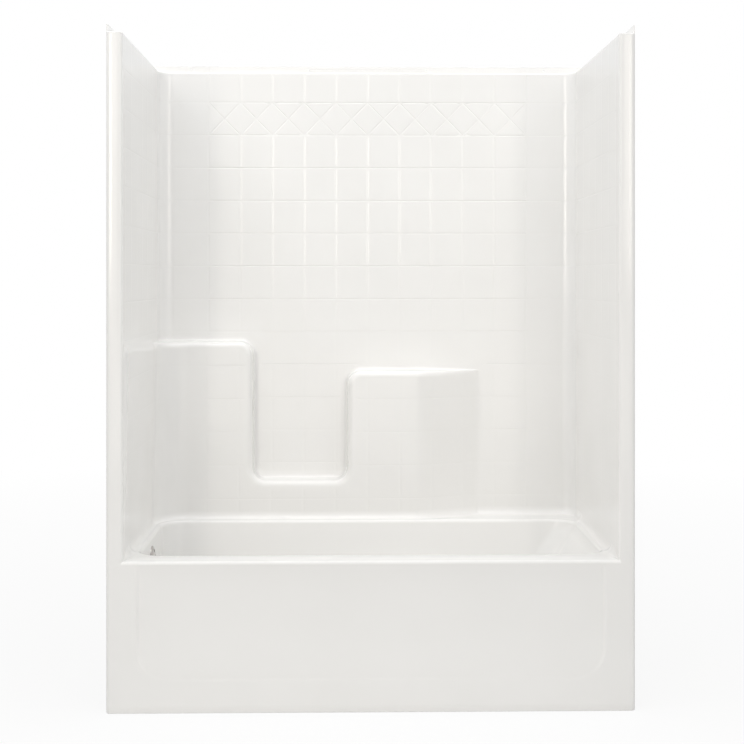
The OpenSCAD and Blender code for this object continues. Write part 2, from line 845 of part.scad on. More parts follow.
// Domed plate over the overflow; the lever comes out through its slot
module overflow_plate() {
    ball_r = (plate_r * plate_r + plate_h * plate_h) / (2 * plate_h);
    boss_h = plate_h - 4.6;
    color(chromed) translate([basin_x0 + 0.1, waste_y, over_z]) rotate([0, 90, 0])
        difference() {
            union() {
                rotate_extrude() difference() {
                    intersection() {
                        translate([0, plate_h - ball_r]) circle(r = ball_r, $fn = 128);
                        square([plate_r, plate_h]);
                    }
                    translate([0, plate_h - ball_r])
                        circle(r = ball_r - 1.5, $fn = 128);
                }
                for (s = [-1, 1]) translate([s * screw_dz, 0, 0])
                    cylinder(r = 5.5, h = boss_h, $fn = 32);
            }
            for (s = [-1, 1]) translate([s * screw_dz, 0, 0]) {
                translate([0, 0, -eps]) cylinder(r = 2.3, h = plate_h, $fn = 32);
                translate([0, 0, boss_h - 1]) cylinder(r = 4.4, h = plate_h, $fn = 32);
            }
            translate([-14, -4.6, -eps]) cube([28, 9.2, plate_h + 2 * eps]);
        }
}

// Two domed screws that hold plate, bracket and elbow together
module plate_screws() {
    head_x = basin_x0 + 0.1 + plate_h - 5.6;
    color(chromed) for (s = [-1, 1])
        translate([head_x, waste_y, over_z + s * screw_dz]) rotate([0, 90, 0]) {
            difference() {
                intersection() {
                    cylinder(r = 4.1, h = 2.6, $fn = 32);
                    translate([0, 0, -3.2]) sphere(r = 5.8, $fn = 48);
                }
                translate([-4.5, -0.5, 1.7]) cube([9, 1, 2]);
            }
            translate([0, 0, -(head_x - mouth_x) - 9])
                cylinder(r = 1.98, h = head_x - mouth_x + 9 + eps, $fn = 32);
        }
}

// Lever at rest: handle drooping out of the plate, inner arm raised
module trip_lever() {
    reach = basin_x0 + plate_h + 27 - lever_x;
    color(chromed) translate([lever_x, waste_y, over_z]) rotate([0, droop, 0])
        difference() {
            union() {
                rotate([90, 0, 0]) cylinder(r = 4, h = 4, center = true);
                translate([0, -2, -2]) cube([reach - 12, 4, 4]);
                translate([reach - 14, -3.8, -1.8]) cube([12, 7.6, 3.6]);
                translate([reach - 2, 3.8, 0]) rotate([90, 0, 0])
                    cylinder(r = 1.8, h = 7.6);
                translate([-arm_l, -1.5, -2]) cube([arm_l, 3, 4]);
                translate([-arm_l, 1.5, 0]) rotate([90, 0, 0])
                    cylinder(r = 4.6, h = 3);
            }
            rotate([90, 0, 0]) cylinder(r = 1.55, h = 10, center = true, $fn = 32);
            translate([-arm_l, 0, 0]) rotate([90, 0, 0])
                cylinder(r = 2.9, h = 10, center = true, $fn = 32);
        }
}

// Strap across the overflow's mouth with two cheeks that carry the pin
module lever_bracket() {
    strap_x = mouth_x - 4;
    color(brassy) difference() {
        union() {
            translate([strap_x, waste_y - 6, over_z - 27]) cube([2, 12, 54]);
            for (s = [-1, 1])
                translate([lever_x - 4.5, waste_y + s * 4.2 - 1, over_z - 5])
                    cube([strap_x - lever_x + 5, 2, 10]);
        }
        translate([strap_x - eps, waste_y - 2.9, over_z - 12]) cube([3, 5.8, 24]);
        for (s = [-1, 1]) translate([strap_x - eps, waste_y, over_z + s * screw_dz])
            rotate([0, 90, 0]) cylinder(r = 2.05, h = 3, $fn = 32);
        translate([lever_x, waste_y, over_z]) rotate([90, 0, 0])
            cylinder(r = 1.5, h = 20, center = true, $fn = 32);
    }
}

module lever_pin() {
    color(steel) translate([lever_x, waste_y, over_z]) rotate([90, 0, 0]) {
        cylinder(r = 1.49, h = 13, center = true, $fn = 32);
        for (s = [-1, 1]) translate([0, 0, s * 6.1])
            cylinder(r = 2.4, h = 1.6, center = true, $fn = 32);
    }
}

// Rubber ring between the bath's end wall and the elbow
module overflow_gasket() {
    color(rubbery) translate([mouth_x, waste_y, over_z]) rotate([0, 90, 0])
        difference() {
            cylinder(r = 41, h = tape_t - 0.1);
            translate([0, 0, -eps]) cylinder(r = hole_r, h = tape_t + 2 * eps);
        }
}

module overflow_elbow() {
    flange_x = mouth_x - 6;
    tail_x = tube_x - socket_r;
    lug_z = 8.5;
    color(pipe_white) difference() {
        union() {
            translate([tail_x, waste_y, over_z]) rotate([0, 90, 0])
                cylinder(r = 31, h = flange_x - tail_x + 2);
            translate([flange_x, waste_y, over_z]) rotate([0, 90, 0])
                cylinder(r = 40, h = mouth_x - flange_x);
            translate([tube_x, waste_y, over_z - 90]) cylinder(r = socket_r, h = 90);
        }
        difference() {
            translate([tail_x + 3, waste_y, over_z]) rotate([0, 90, 0])
                cylinder(r = 28, h = mouth_x - tail_x);
            for (s = [-1, 1])
                translate([flange_x - 4, waste_y - 6,
                        over_z + s * (screw_dz + 1) - lug_z / 2])
                    cube([6, 12, lug_z]);
        }
        translate([tube_x, waste_y, over_z - 91]) cylinder(r = tube_in_r, h = 91);
        translate([tube_x, waste_y, over_z - 91])
            cylinder(r = socket_in_r, h = 46);
        for (s = [-1, 1]) translate([flange_x - 6, waste_y, over_z + s * screw_dz])
            rotate([0, 90, 0]) cylinder(r = 2, h = 12, $fn = 32);
    }
}

tube_low_z = shoe_z + 40;
tube_high_z = over_z - 50;

module overflow_tube() {
    color(pipe_white) translate([tube_x, waste_y, tube_low_z]) difference() {
        cylinder(r = tube_r, h = tube_high_z - tube_low_z);
        translate([0, 0, -eps])
            cylinder(r = tube_in_r, h = tube_high_z - tube_low_z + 2 * eps);
    }
}

// Tee that joins overflow, shoe and tailpiece, with the plunger's seat inside
module waste_tee() {
    top = shoe_z + 68;
    low = tee_low_z;
    color(pipe_white) translate([tube_x, waste_y, 0]) difference() {
        union() {
            translate([0, 0, low]) cylinder(r = socket_r, h = top - low);
            translate([0, 0, shoe_z]) rotate([0, 90, 0])
                cylinder(r = socket_r, h = 62);
        }
        difference() {
            translate([0, 0, low - eps])
                cylinder(r = tube_in_r, h = top - low + 2 * eps);
            translate([0, 0, shoe_z - 24]) difference() {
                cylinder(r = tube_in_r + eps, h = 4);
                translate([0, 0, -eps]) cylinder(r = tube_in_r - 4, h = 5);
            }
        }
        translate([0, 0, tube_low_z - 0.2])
            cylinder(r = socket_in_r, h = top - tube_low_z + 1);
        translate([0, 0, low - eps]) cylinder(r = socket_in_r, h = 8);
        translate([0, 0, shoe_z]) rotate([0, 90, 0]) {
            cylinder(r = tube_in_r, h = 63);
            translate([0, 0, 36]) cylinder(r = socket_in_r, h = 27);
        }
    }
}

module drain_shoe() {
    cup_top = floor_z - skin - tape_t;
    arm_x0 = tube_x + 36.2;
    color(pipe_white) translate([0, waste_y, 0]) difference() {
        union() {
            translate([drain_x, 0, shoe_z - 24]) cylinder(r = 27, h = cup_top - shoe_z + 24);
            translate([drain_x, 0, cup_top - 4]) cylinder(r = 36, h = 4);
            translate([arm_x0, 0, shoe_z]) rotate([0, 90, 0])
                cylinder(r = tube_r, h = drain_x - arm_x0);
        }
        translate([drain_x, 0, shoe_z - 20]) cylinder(r = 23.3, h = cup_top);
        translate([arm_x0 - eps, 0, shoe_z]) rotate([0, 90, 0])
            cylinder(r = tube_in_r, h = drain_x - arm_x0);
    }
}

module shoe_gasket() {
    color(rubbery) translate([drain_x, waste_y, floor_z - skin - tape_t])
        difference() {
            cylinder(r = 35, h = tape_t - 0.05);
            translate([0, 0, -eps]) cylinder(r = drain_hole_r, h = tape_t + 2 * eps);
        }
}

// Flange seen in the bath floor, with its threaded barrel down in the shoe
module drain_flange() {
    color(chromed) translate([drain_x, waste_y, floor_z + 0.1]) difference() {
        union() {
            cylinder(r = 35, h = 2.4);
            translate([0, 0, -22]) cylinder(r = 23.25, h = 22.5);
        }
        translate([0, 0, -23]) cylinder(r = 20, h = 30);
        translate([0, 0, 1.2]) cylinder(r = 30.1, h = 3);
    }
}

module strainer_grid() {
    color(chromed) translate([drain_x, waste_y, floor_z + 1.32]) {
        difference() {
            cylinder(r = 30, h = 1.6);
            for (ring = [[9, 6], [17, 12]]) for (i = [0 : ring[1] - 1])
                rotate(i * 360 / ring[1]) translate([ring[0], 0, -eps])
                    cylinder(r = 2.6, h = 3, $fn = 32);
            translate([0, 0, -eps]) cylinder(r = 2.6, h = 3, $fn = 32);
        }
        translate([0, 0, -12]) difference() {
            union() {
                cylinder(r = 5, h = 8, $fn = 32);
                translate([-19.9, -2, 2]) cube([39.8, 4, 4]);
                cylinder(r = 4.2, h = 12.2, $fn = 32);
            }
            translate([0, 0, -eps]) cylinder(r = 2.55, h = 20, $fn = 32);
        }
    }
}

module strainer_screw() {
    color(chromed) translate([drain_x, waste_y, floor_z + 1.32 + 1.62]) {
        difference() {
            intersection() {
                cylinder(r = 4.6, h = 2.2, $fn = 32);
                translate([0, 0, -4.4]) sphere(r = 6.6, $fn = 48);
            }
            translate([-5, -0.5, 1.2]) cube([10, 1, 2]);
        }
        translate([0, 0, -13]) cylinder(r = 2.5, h = 13 + eps, $fn = 32);
    }
}

// Places of the four slip joints, each with its socket's end along local Z
module at_slip_joints() {
    translate([tube_x, waste_y, over_z - 90]) rotate([180, 0, 0]) children();
    translate([tube_x, waste_y, shoe_z + 68]) children();
    translate([tube_x + 62, waste_y, shoe_z]) rotate([0, 90, 0]) children();
    translate([tube_x, waste_y, tee_low_z]) rotate([180, 0, 0]) children();
}

module slip_nuts() {
    color(pipe_white) at_slip_joints() translate([0, 0, -nut_over]) difference() {
        cylinder(r = slip_r, h = nut_over + nut_grip, $fn = 8);
        translate([0, 0, -eps])
            cylinder(r = socket_r + 0.05, h = nut_over + nut_grip / 2 + eps);
        translate([0, 0, nut_over - 1]) cylinder(r = tube_r + 0.1, h = nut_grip + 3);
    }
}

module slip_washers() {
    color(rubbery) at_slip_joints() difference() {
        translate([0, 0, 0.05]) cylinder(r = socket_r, h = 3.4);
        translate([0, 0, -eps]) cylinder(r = tube_r + 0.02, h = 5);
    }
}

// Short pipe below the tee that goes down into the house's trap
module tailpiece() {
    plain = tee_low_z - nut_grip - eps - tail_z;
    color(pipe_white) translate([tube_x, waste_y, tail_z]) difference() {
        union() {
            cylinder(r = tail_r, h = plain);
            cylinder(r = tube_r, h = tee_low_z + 6 - tail_z);
        }
        translate([0, 0, -eps]) cylinder(r = tube_in_r, h = shoe_z);
    }
}

// Wire stirrup that hangs from the lever's eye and holds the rod
module link_wire() {
    eye_z = over_z + arm_lift;
    color(steel) translate([wire_x, waste_y, 0]) {
        translate([0, 0, eye_z]) rotate([90, 0, 0])
            cylinder(r = 1.2, h = 10, center = true, $fn = 32);
        for (s = [-1, 1]) translate([0, s * 5, eye_z - 44]) {
            cylinder(r = 1.2, h = 44, $fn = 32);
            translate([0, 0, 44]) sphere(r = 1.2, $fn = 32);
        }
        difference() {
            translate([-3, -6.2, eye_z - 49]) cube([6, 12.4, 5]);
            translate([0, 0, eye_z - 50]) cylinder(r = 2.02, h = 7, $fn = 32);
        }
    }
}

plunger_z = shoe_z + 1;
plunger_h = 56;

module linkage_rod() {
    eye_z = over_z + arm_lift;
    color(brassy) translate([wire_x, waste_y, plunger_z + plunger_h - 10])
        cylinder(r = 2, h = eye_z - 40 - plunger_z - plunger_h + 10, $fn = 32);
}

module rod_nut() {
    color(brassy) translate([wire_x, waste_y, over_z + arm_lift - 54])
        hex_ring(4.4, 2.02, 5);
}

module plunger() {
    color(brassy) translate([wire_x, waste_y, plunger_z]) difference() {
        union() {
            cylinder(r = 15.5, h = plunger_h - 6);
            translate([0, 0, plunger_h - 6 - eps]) cylinder(r = 6, h = 6 + eps);
        }
        translate([0, 0, plunger_h - 12]) cylinder(r = 2.02, h = 13, $fn = 32);
    }
}

tub_section();
back_wall_section();
left_wall_section();
right_wall_section();
seam_gasket();
seam_bolts();
seam_washers();
seam_nuts();
back_wall_board();
left_wall_board();
right_wall_board();
floor_board();
floor_runners();
apron_battens();
deck_posts();
overflow_plate();
plate_screws();
trip_lever();
lever_bracket();
lever_pin();
overflow_gasket();
overflow_elbow();
overflow_tube();
waste_tee();
drain_shoe();
shoe_gasket();
drain_flange();
strainer_grid();
strainer_screw();
slip_nuts();
slip_washers();
tailpiece();
link_wire();
linkage_rod();
rod_nut();
plunger();
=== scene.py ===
import json
import math

import bmesh
import bpy
import numpy as np
from mathutils.geometry import delaunay_2d_cdt
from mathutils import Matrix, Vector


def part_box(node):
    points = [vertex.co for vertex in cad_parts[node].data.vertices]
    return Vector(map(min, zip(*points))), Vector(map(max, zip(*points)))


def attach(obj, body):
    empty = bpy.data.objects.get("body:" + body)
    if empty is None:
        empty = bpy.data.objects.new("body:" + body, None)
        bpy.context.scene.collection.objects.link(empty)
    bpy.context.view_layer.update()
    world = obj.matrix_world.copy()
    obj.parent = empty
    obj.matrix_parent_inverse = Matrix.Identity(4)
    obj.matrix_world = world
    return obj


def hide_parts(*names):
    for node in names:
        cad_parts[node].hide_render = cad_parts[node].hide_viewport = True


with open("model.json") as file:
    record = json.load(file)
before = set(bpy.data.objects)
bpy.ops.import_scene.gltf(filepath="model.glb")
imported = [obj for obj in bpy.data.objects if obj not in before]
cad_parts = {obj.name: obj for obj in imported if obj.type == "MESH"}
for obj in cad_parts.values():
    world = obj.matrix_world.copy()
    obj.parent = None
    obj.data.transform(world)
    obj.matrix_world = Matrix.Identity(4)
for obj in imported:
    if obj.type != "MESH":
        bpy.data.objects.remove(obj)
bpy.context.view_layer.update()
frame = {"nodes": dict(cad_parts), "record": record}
MM = 0.001

# Tub section: one moulding of white gelcoat over glass fibre laminate, with the apron, the
# threshold, the basin, the deck, the cove up to the walls and the stubs of both columns.
# It is sprayed on a mould, so its face is smooth and its back shows the rolled fibres.

# in millimetres: the unit's outside, the walls' faces, the laminate, the seam and the deck
HALF_W, FRONT_Y, BACK_Y = 762.0, -406.5, 406.5
OPEN_X, WALL_Y, LOW_Y = 715.0, 380.5, 300.5
SKIN, SEAM_Z, RIM_Z = 5.0, 461.0, 436.0
# the low panel's taper, the round corners, and the columns' edges and side returns
TAPER_X0, TAPER_X1 = 170.0, 380.0
LOW_CORNER_R, CORNER_R = 110.0, 45.0
EDGE_R, BEAD_R, RETURN_D = 11.0, 8.0, 40.0
# the basin at its rim and on its floor, its radii, and the cove up to the walls
BASIN_X, BASIN_Y = (-684.0, 688.0), (-311.0, 264.0)
FLOOR_X, FLOOR_Y = (-624.0, 440.0), (-190.0, 155.0)
BASIN_R, BASE_R, LIP_R, THRESHOLD_R = 75.0, 60.0, 12.0, 9.0
BASIN_FLOOR, COVE_R, COVE_MIN = 100.0, 25.0, 6.0
# the recessed apron panel, and the places of the drain and the overflow
PANEL_HALF, PANEL_Z, PANEL_R, PANEL_D = 672.0, 96.0, 85.0, 6.0
DRAIN_X, WASTE_Y, OVER_Z = -552.0, -28.0, 370.0
# plan centres of the low panel's round corner and of the back wall's
BIG_AT = (LOW_CORNER_R - OPEN_X, LOW_Y - LOW_CORNER_R)
SMALL_AT = (OPEN_X - CORNER_R, WALL_Y - CORNER_R)


def ease(t):
    """Smooth step from 0 to 1."""
    t = np.clip(t, 0, 1)
    return t * t * (3 - 2 * t)


def sheet_faces(rows, cols, closed=False):
    """Quads of a grid whose points are numbered row by row; closed joins the last column
    to the first."""
    steps = cols if closed else cols - 1
    i, j = np.meshgrid(np.arange(rows - 1), np.arange(steps), indexing="ij")
    k = (j + 1) % cols
    quad = np.stack([i * cols + j, i * cols + k, (i + 1) * cols + k, (i + 1) * cols + j], axis=-1)
    return quad.reshape(-1, 4)


def linked(name, data):
    """A new object with its data, in the scene's collection."""
    obj = bpy.data.objects.new(name, data)
    bpy.context.collection.objects.link(obj)
    return obj


def mesh_object(name, points, faces):
    """A new mesh object at the world origin, from points in metres and their faces."""
    mesh = bpy.data.meshes.new(name)
    mesh.from_pydata(points.tolist(), [], faces)
    return linked(name, mesh)


class Skin:
    """Collects the grids of one moulding and makes them one welded mesh."""

    def __init__(self):
        self.points, self.faces, self.count = [], [], 0

    def add(self, points, faces, towards):
        """Adds points in millimetres and their faces, all turned to look towards a point,
        which may be one point or one for each face."""
        points = np.asarray(points, float).reshape(-1, 3)
        by_size = {}
        for f in faces:
            by_size.setdefault(len(f), []).append(f)
        for size, group in by_size.items():
            f = np.asarray(group)
            a, b, c = points[f[:, 0]], points[f[:, 1]], points[f[:, size - 1]]
            d = points[f[:, size // 2]]
            normal = np.cross(b - a, c - a) + np.cross(c - d, b - d) * (size == 4)
            look = ((np.asarray(towards) - points[f].mean(axis=1)) * normal).sum(axis=1)
            if look.sum() < 0:
                f = f[:, ::-1]
            self.faces += (f + self.count).tolist()
        self.points.append(points)
        self.count += len(points)

    def sheet(self, points, towards, closed=False):
        """Adds a grid of points given as rows by columns by three."""
        rows, cols = points.shape[:2]
        self.add(points, sheet_faces(rows, cols, closed), towards)

    def mesh(self, name):
        """The welded mesh object, shaded smooth inside its sharp border."""
        obj = mesh_object(name, np.concatenate(self.points) * MM, self.faces)
        bm = bmesh.new()
        bm.from_mesh(obj.data)
        weld = 0.06 * MM
        bmesh.ops.remove_doubles(bm, verts=bm.verts, dist=weld)
        bmesh.ops.dissolve_degenerate(bm, edges=bm.edges, dist=weld * 0.5)
        for edge in bm.edges:
            edge.smooth = not edge.is_boundary
        bm.to_mesh(obj.data)
        bm.free()
        obj.data.shade_smooth()
        return obj


def laminate(obj, thick=SKIN):
    """Gives a moulding its thickness behind the face; the back takes the second material."""
    mod = obj.modifiers.new("laminate", "SOLIDIFY")
    mod.thickness = thick * MM
    mod.offset = -1
    mod.use_even_offset = False
    mod.material_offset = 1
    mod.material_offset_rim = 0
    return obj


def triangulate(points, edges=(), kind=0):
    """Flat Delaunay triangles over points, keeping the given edges."""
    found = delaunay_2d_cdt([tuple(p) for p in np.asarray(points).tolist()],
                            [tuple(map(int, e)) for e in edges], [], kind, 0.001, False)
    return np.array([tuple(p) for p in found[0]]), [tuple(f) for f in found[2]]


def inside(points, loop):
    """True for flat points inside a closed outline, by counting the edges to their right."""
    x, y = points[:, 0][:, None], points[:, 1][:, None]
    a, b = loop[None], np.roll(loop, -1, axis=0)[None]
    spans_y = (a[..., 1] > y) != (b[..., 1] > y)
    height = np.where(b[..., 1] == a[..., 1], 1e-9, b[..., 1] - a[..., 1])
    at = a[..., 0] + (y - a[..., 1]) * (b[..., 0] - a[..., 0]) / height
    return (spans_y & (at > x)).sum(axis=1) % 2 == 1


def arc_points(centre, r, start, stop, count):
    """Points on an arc between two angles in degrees, and their directions from its
    centre."""
    a = np.radians(np.linspace(start, stop, count))
    way = np.column_stack([np.cos(a), np.sin(a)])
    return np.array(centre) + r * way, way


def closed_edges(*loops):
    """Edges round closed loops, whose points are numbered one loop after another."""
    edges, start = [], 0
    for loop in loops:
        n = np.arange(len(loop))
        edges.append(np.column_stack([n, (n + 1) % len(loop)]) + start)
        start += len(loop)
    return np.concatenate(edges)


def rounded_loop(x_span, y_span, r, counts):
    """Closed loop round a rectangle with corners of radius r, clockwise from the left
    side's front end: (x, y), outward normal. counts are the points on each straight
    left/right side, front/back side and corner."""
    side, back, turn = counts
    (x0, x1), (y0, y1) = x_span, y_span
    pts, nrm = [], []

    def straight(p, q, n, positions):
        p, q = np.array(p, float), np.array(q, float)
        pts.append(p + positions[:, None] * (q - p))
        nrm.append(np.tile(np.array(n, float), (len(positions), 1)))

    def corner(cx, cy, a0, a1):
        p, n = arc_points((cx, cy), r, a0, a1, turn + 2)
        pts.append(p[1:-1])
        nrm.append(n[1:-1])

    straight((x0, y0), (x0, y1), (-1, 0), side)
    corner(x0 + r, y1, 180, 90)
    straight((x0 + r, y1 + r), (x1 - r, y1 + r), (0, 1), back)
    corner(x1 - r, y1, 90, 0)
    straight((x1, y1), (x1, y0), (1, 0), side)
    corner(x1 - r, y0, 0, -90)
    straight((x1 - r, y0 - r), (x0 + r, y0 - r), (0, -1), 1 - back[::-1])
    corner(x0 + r, y0, -90, -180)
    return np.concatenate(pts), np.concatenate(nrm)


side_t = np.linspace(0, 1, 34)
straight_back = BASIN_X[1] - BASIN_X[0] - 2 * BASIN_R
bend_t = (np.array([TAPER_X0, TAPER_X1]) - BASIN_X[0] - BASIN_R) / straight_back
back_t = np.unique(np.concatenate([np.linspace(0, 1, 96), bend_t]))
turn_n = 27
rim_xy, rim_n = rounded_loop(BASIN_X, (BASIN_Y[0] + BASIN_R, BASIN_Y[1] - BASIN_R), BASIN_R,
                             (side_t, back_t, turn_n))
foot_xy, foot_n = rounded_loop((FLOOR_X[0] - BASE_R, FLOOR_X[1] + BASE_R), FLOOR_Y, BASE_R,
                               (side_t, back_t, turn_n))
core_xy = foot_xy - BASE_R * foot_n


def back_line(x):
    """Plan line of the back of the deck: low panel, taper, back wall."""
    return np.interp(x, [TAPER_X0, TAPER_X1], [LOW_Y, WALL_Y])


def in_room(x, y):
    """True inside the plan of the deck, up to the walls and the threshold's front."""
    edge = FRONT_Y + THRESHOLD_R
    held = (np.abs(x) < OPEN_X) & (y > edge) & (y < back_line(x))
    (lx, ly), (rx, ry) = BIG_AT, SMALL_AT
    held &= ~((x < lx) & (y > ly) & (np.hypot(x - lx, y - ly) > LOW_CORNER_R))
    held &= ~((x > rx) & (y > ry) & (np.hypot(x - rx, y - ry) > CORNER_R))
    return held


def to_edge(points, normals):
    """Where rays from the basin's rim meet the edge of the deck, by halving."""
    low, high = np.zeros(len(points)), np.full(len(points), 400.0)
    for _ in range(40):
        mid = 0.5 * (low + high)
        p = points + mid[:, None] * normals
        ok = in_room(p[:, 0], p[:, 1])
        low, high = np.where(ok, mid, low), np.where(ok, high, mid)
    return 0.5 * (low + high)


reach = to_edge(rim_xy, rim_n)
edge_xy = rim_xy + reach[:, None] * rim_n
on_front = np.abs(edge_xy[:, 1] - (FRONT_Y + THRESHOLD_R)) < 0.01
# the two front corners are given exact points, one for the side and one for the front
for sx in (-1, 1):
    near = np.hypot(edge_xy[:, 0] - sx * OPEN_X, edge_xy[:, 1] - FRONT_Y - THRESHOLD_R)
    for front in (True, False):
        pick = np.where(on_front == front, near, 1e9).argmin()
        edge_xy[pick] = (sx * OPEN_X, FRONT_Y + THRESHOLD_R)
reach = np.hypot(*(edge_xy - rim_xy).T)
way = (edge_xy - rim_xy) / reach[:, None]

tub = Skin()


def ring(xy, z):
    """Flat points with a height, which is one number or one for each point."""
    return np.column_stack([xy, np.broadcast_to(z, len(xy))])


# basin wall: a straight flank that meets the round foot at its tangent, then the round lip
lip_low = RIM_Z - LIP_R
core_z = BASIN_FLOOR + BASE_R
out = ((rim_xy - core_xy) * rim_n).sum(axis=1)
far = np.hypot(out, lip_low - core_z)
tangent = np.arccos(np.clip(BASE_R / far, -1, 1)) - np.arctan2(lip_low - core_z, out)
rings = []
for t in np.linspace(1, 0, 10):
    b = tangent + t * (np.pi / 2 - tangent)
    xy = core_xy + BASE_R * np.cos(b)[:, None] * rim_n
    rings.append(ring(xy, core_z - BASE_R * np.sin(b)))
base = rings[-1]
top = ring(rim_xy, lip_low)
for t in np.linspace(0, 1, 14)[1:]:
    rings.append(base + t * (top - base))
for a in np.radians(np.linspace(0, 90, 7)[1:]):
    rings.append(ring(rim_xy + LIP_R * (1 - math.cos(a)) * way, lip_low + LIP_R * math.sin(a)))
# deck, then the cove that turns up into the walls; it dies out at the threshold
COVE_LEAST, COVE_RUN_OUT = 0.04, 80.0
cove_r = np.clip(reach - LIP_R - 1.0, COVE_MIN, COVE_R)
from_front = edge_xy[:, 1] - FRONT_Y - THRESHOLD_R
cove_r *= COVE_LEAST + (1 - COVE_LEAST) * ease(from_front / COVE_RUN_OUT)
cove_r = np.where(on_front, 0.0, cove_r)
deck_end = reach - cove_r
for t in (0.5, 1.0):
    rings.append(ring(rim_xy + (LIP_R + t * (deck_end - LIP_R))[:, None] * way, RIM_Z))
for c in np.radians(np.linspace(0, 90, 8)[1:]):
    xy = rim_xy + (deck_end + cove_r * math.sin(c))[:, None] * way
    rings.append(ring(xy, RIM_Z + cove_r * (1 - math.cos(c))))
rings.append(ring(edge_xy, np.where(on_front, RIM_Z, SEAM_Z)))
rings = np.array(rings)
tub_in = np.array([0.0, -20.0, 900.0])

# the overflow's hole is cut in the flat end wall, and the drain's in the floor
grid_f = sheet_faces(*rings.shape[:2], closed=True)
flat = rings.reshape(-1, 3)
HOLE_R, DRAIN_R, PATCH_HALF, WALL_ROWS = 31.0, 24.0, 53.0, 24
END_COLUMN = 10
level = np.abs(rings[:, END_COLUMN, 2] - OVER_Z) < PATCH_HALF - 1
row = int(np.abs(rings[:WALL_ROWS, END_COLUMN, 2] - OVER_Z).argmin())
on_end = np.abs(rings[row, :, 0] - BASIN_X[0]) < 0.5
across = on_end & (np.abs(rings[row, :, 1] - WASTE_Y) < PATCH_HALF + 1)
block = (level[:-1] & level[1:] & (np.arange(len(level) - 1) < WALL_ROWS))[:, None]
cut = (block & (across & np.roll(across, -1))[None, :]).ravel()
tub.add(flat, grid_f[~cut], tub_in)


def border_edges(faces):
    """Edges used by only one of the four-sided faces."""
    sides = np.concatenate([faces[:, [k, (k + 1) % 4]] for k in range(4)])
    edges, count = np.unique(np.sort(sides, axis=1), axis=0, return_counts=True)
    return edges[count == 1]


def hole_patch(outline, edges, centre, r):
    """Triangles between a closed outline and a round hole: rings of points round the hole
    and the outline's own points. Returns flat points and faces."""
    a = np.linspace(0, 2 * np.pi, 49)[:-1]
    unit = np.stack([np.cos(a), np.sin(a)], axis=1)
    circles = [np.array(centre) + q * unit for q in (r, r + 2.5)]
    pts = np.concatenate([outline] + circles)
    hoop = closed_edges(unit) + len(outline)
    p2, faces = triangulate(pts, np.concatenate([edges, hoop]), 1)
    mid = p2[np.array(faces)].mean(axis=1)
    bearing = np.arctan2(*(outline - np.array(centre)).T)
    within = inside(mid, outline[np.argsort(bearing)])
    kept = within & (np.hypot(*(mid - np.array(centre)).T) > r * 0.999)
    return p2, np.array(faces)[kept]


edges = border_edges(grid_f[cut])
used, local = np.unique(edges, return_inverse=True)
p2, f2 = hole_patch(flat[used][:, 1:], local.reshape(-1, 2), (WASTE_Y, OVER_Z), HOLE_R)
tub.add(np.column_stack([np.full(len(p2), flat[used][:, 0].mean()), p2]), f2, tub_in)
p2, f2 = hole_patch(rings[0][:, :2], closed_edges(core_xy), (DRAIN_X, WASTE_Y), DRAIN_R)
tub.add(ring(p2, BASIN_FLOOR), f2, tub_in)

# threshold nose, over the front edge of the deck
nose_x = np.sort(edge_xy[on_front][:, 0])
ends = np.array([OPEN_X + 4, OPEN_X + BEAD_R])
nose_x = np.concatenate([-ends[::-1], nose_x, ends])
nose_x = nose_x[np.concatenate([[True], np.diff(nose_x) > 0.01])]
a = np.radians(np.linspace(0, 90, 9))[:, None]
one = np.ones_like(nose_x)[None, :]
nose = np.stack([nose_x[None, :] * np.ones_like(a),
                 (FRONT_Y + THRESHOLD_R - THRESHOLD_R * np.sin(a)) * one,
                 (RIM_Z - THRESHOLD_R + THRESHOLD_R * np.cos(a)) * one], axis=-1)
tub.sheet(nose, np.array([0.0, -1500.0, 1500.0]))


def panel_distance(x, z):
    """Signed distance to the recessed apron panel, negative inside: a wide slot, open at
    the top, with round lower corners."""
    a = np.abs(x) - PANEL_HALF + PANEL_R
    b = PANEL_Z + PANEL_R - z
    out = np.hypot(np.maximum(a, 0), np.maximum(b, 0)) - PANEL_R
    return np.where((a <= 0) & (b <= 0), np.maximum(a, b) - PANEL_R, out)


PANEL_SOFT, PANEL_FADE, PANEL_LEAST, PANEL_RISE = 5.0, 70.0, 0.12, 150.0
lip = RIM_Z - THRESHOLD_R
FINE = 2.6
flat_end, flat_mid = HALF_W - EDGE_R, 735.0
fine_x = np.arange(PANEL_HALF - PANEL_R - 6, PANEL_HALF + PANEL_SOFT + 1, FINE)
front_x = np.concatenate([nose_x, fine_x, -fine_x, [-flat_end, -flat_mid, flat_mid, flat_end]])
front_x = np.unique(np.round(front_x, 4))
front_x = front_x[np.abs(front_x) <= flat_end]
own = np.isin(front_x, np.round(nose_x, 4)) | (np.abs(front_x) > flat_end - 1)
gap = np.minimum(np.abs(np.diff(front_x, prepend=-9999)), np.abs(np.diff(front_x, append=9999)))
front_x = front_x[own | (gap > 0.8)]
front_z = np.unique(np.round(np.concatenate([
    np.arange(PANEL_Z - PANEL_SOFT - 1, PANEL_Z + PANEL_R + 6, FINE),
    np.linspace(PANEL_Z + PANEL_R + 10, 396, 12), np.linspace(399, lip, 9),
    np.linspace(4, PANEL_Z - PANEL_SOFT - 6, 5)]), 4))
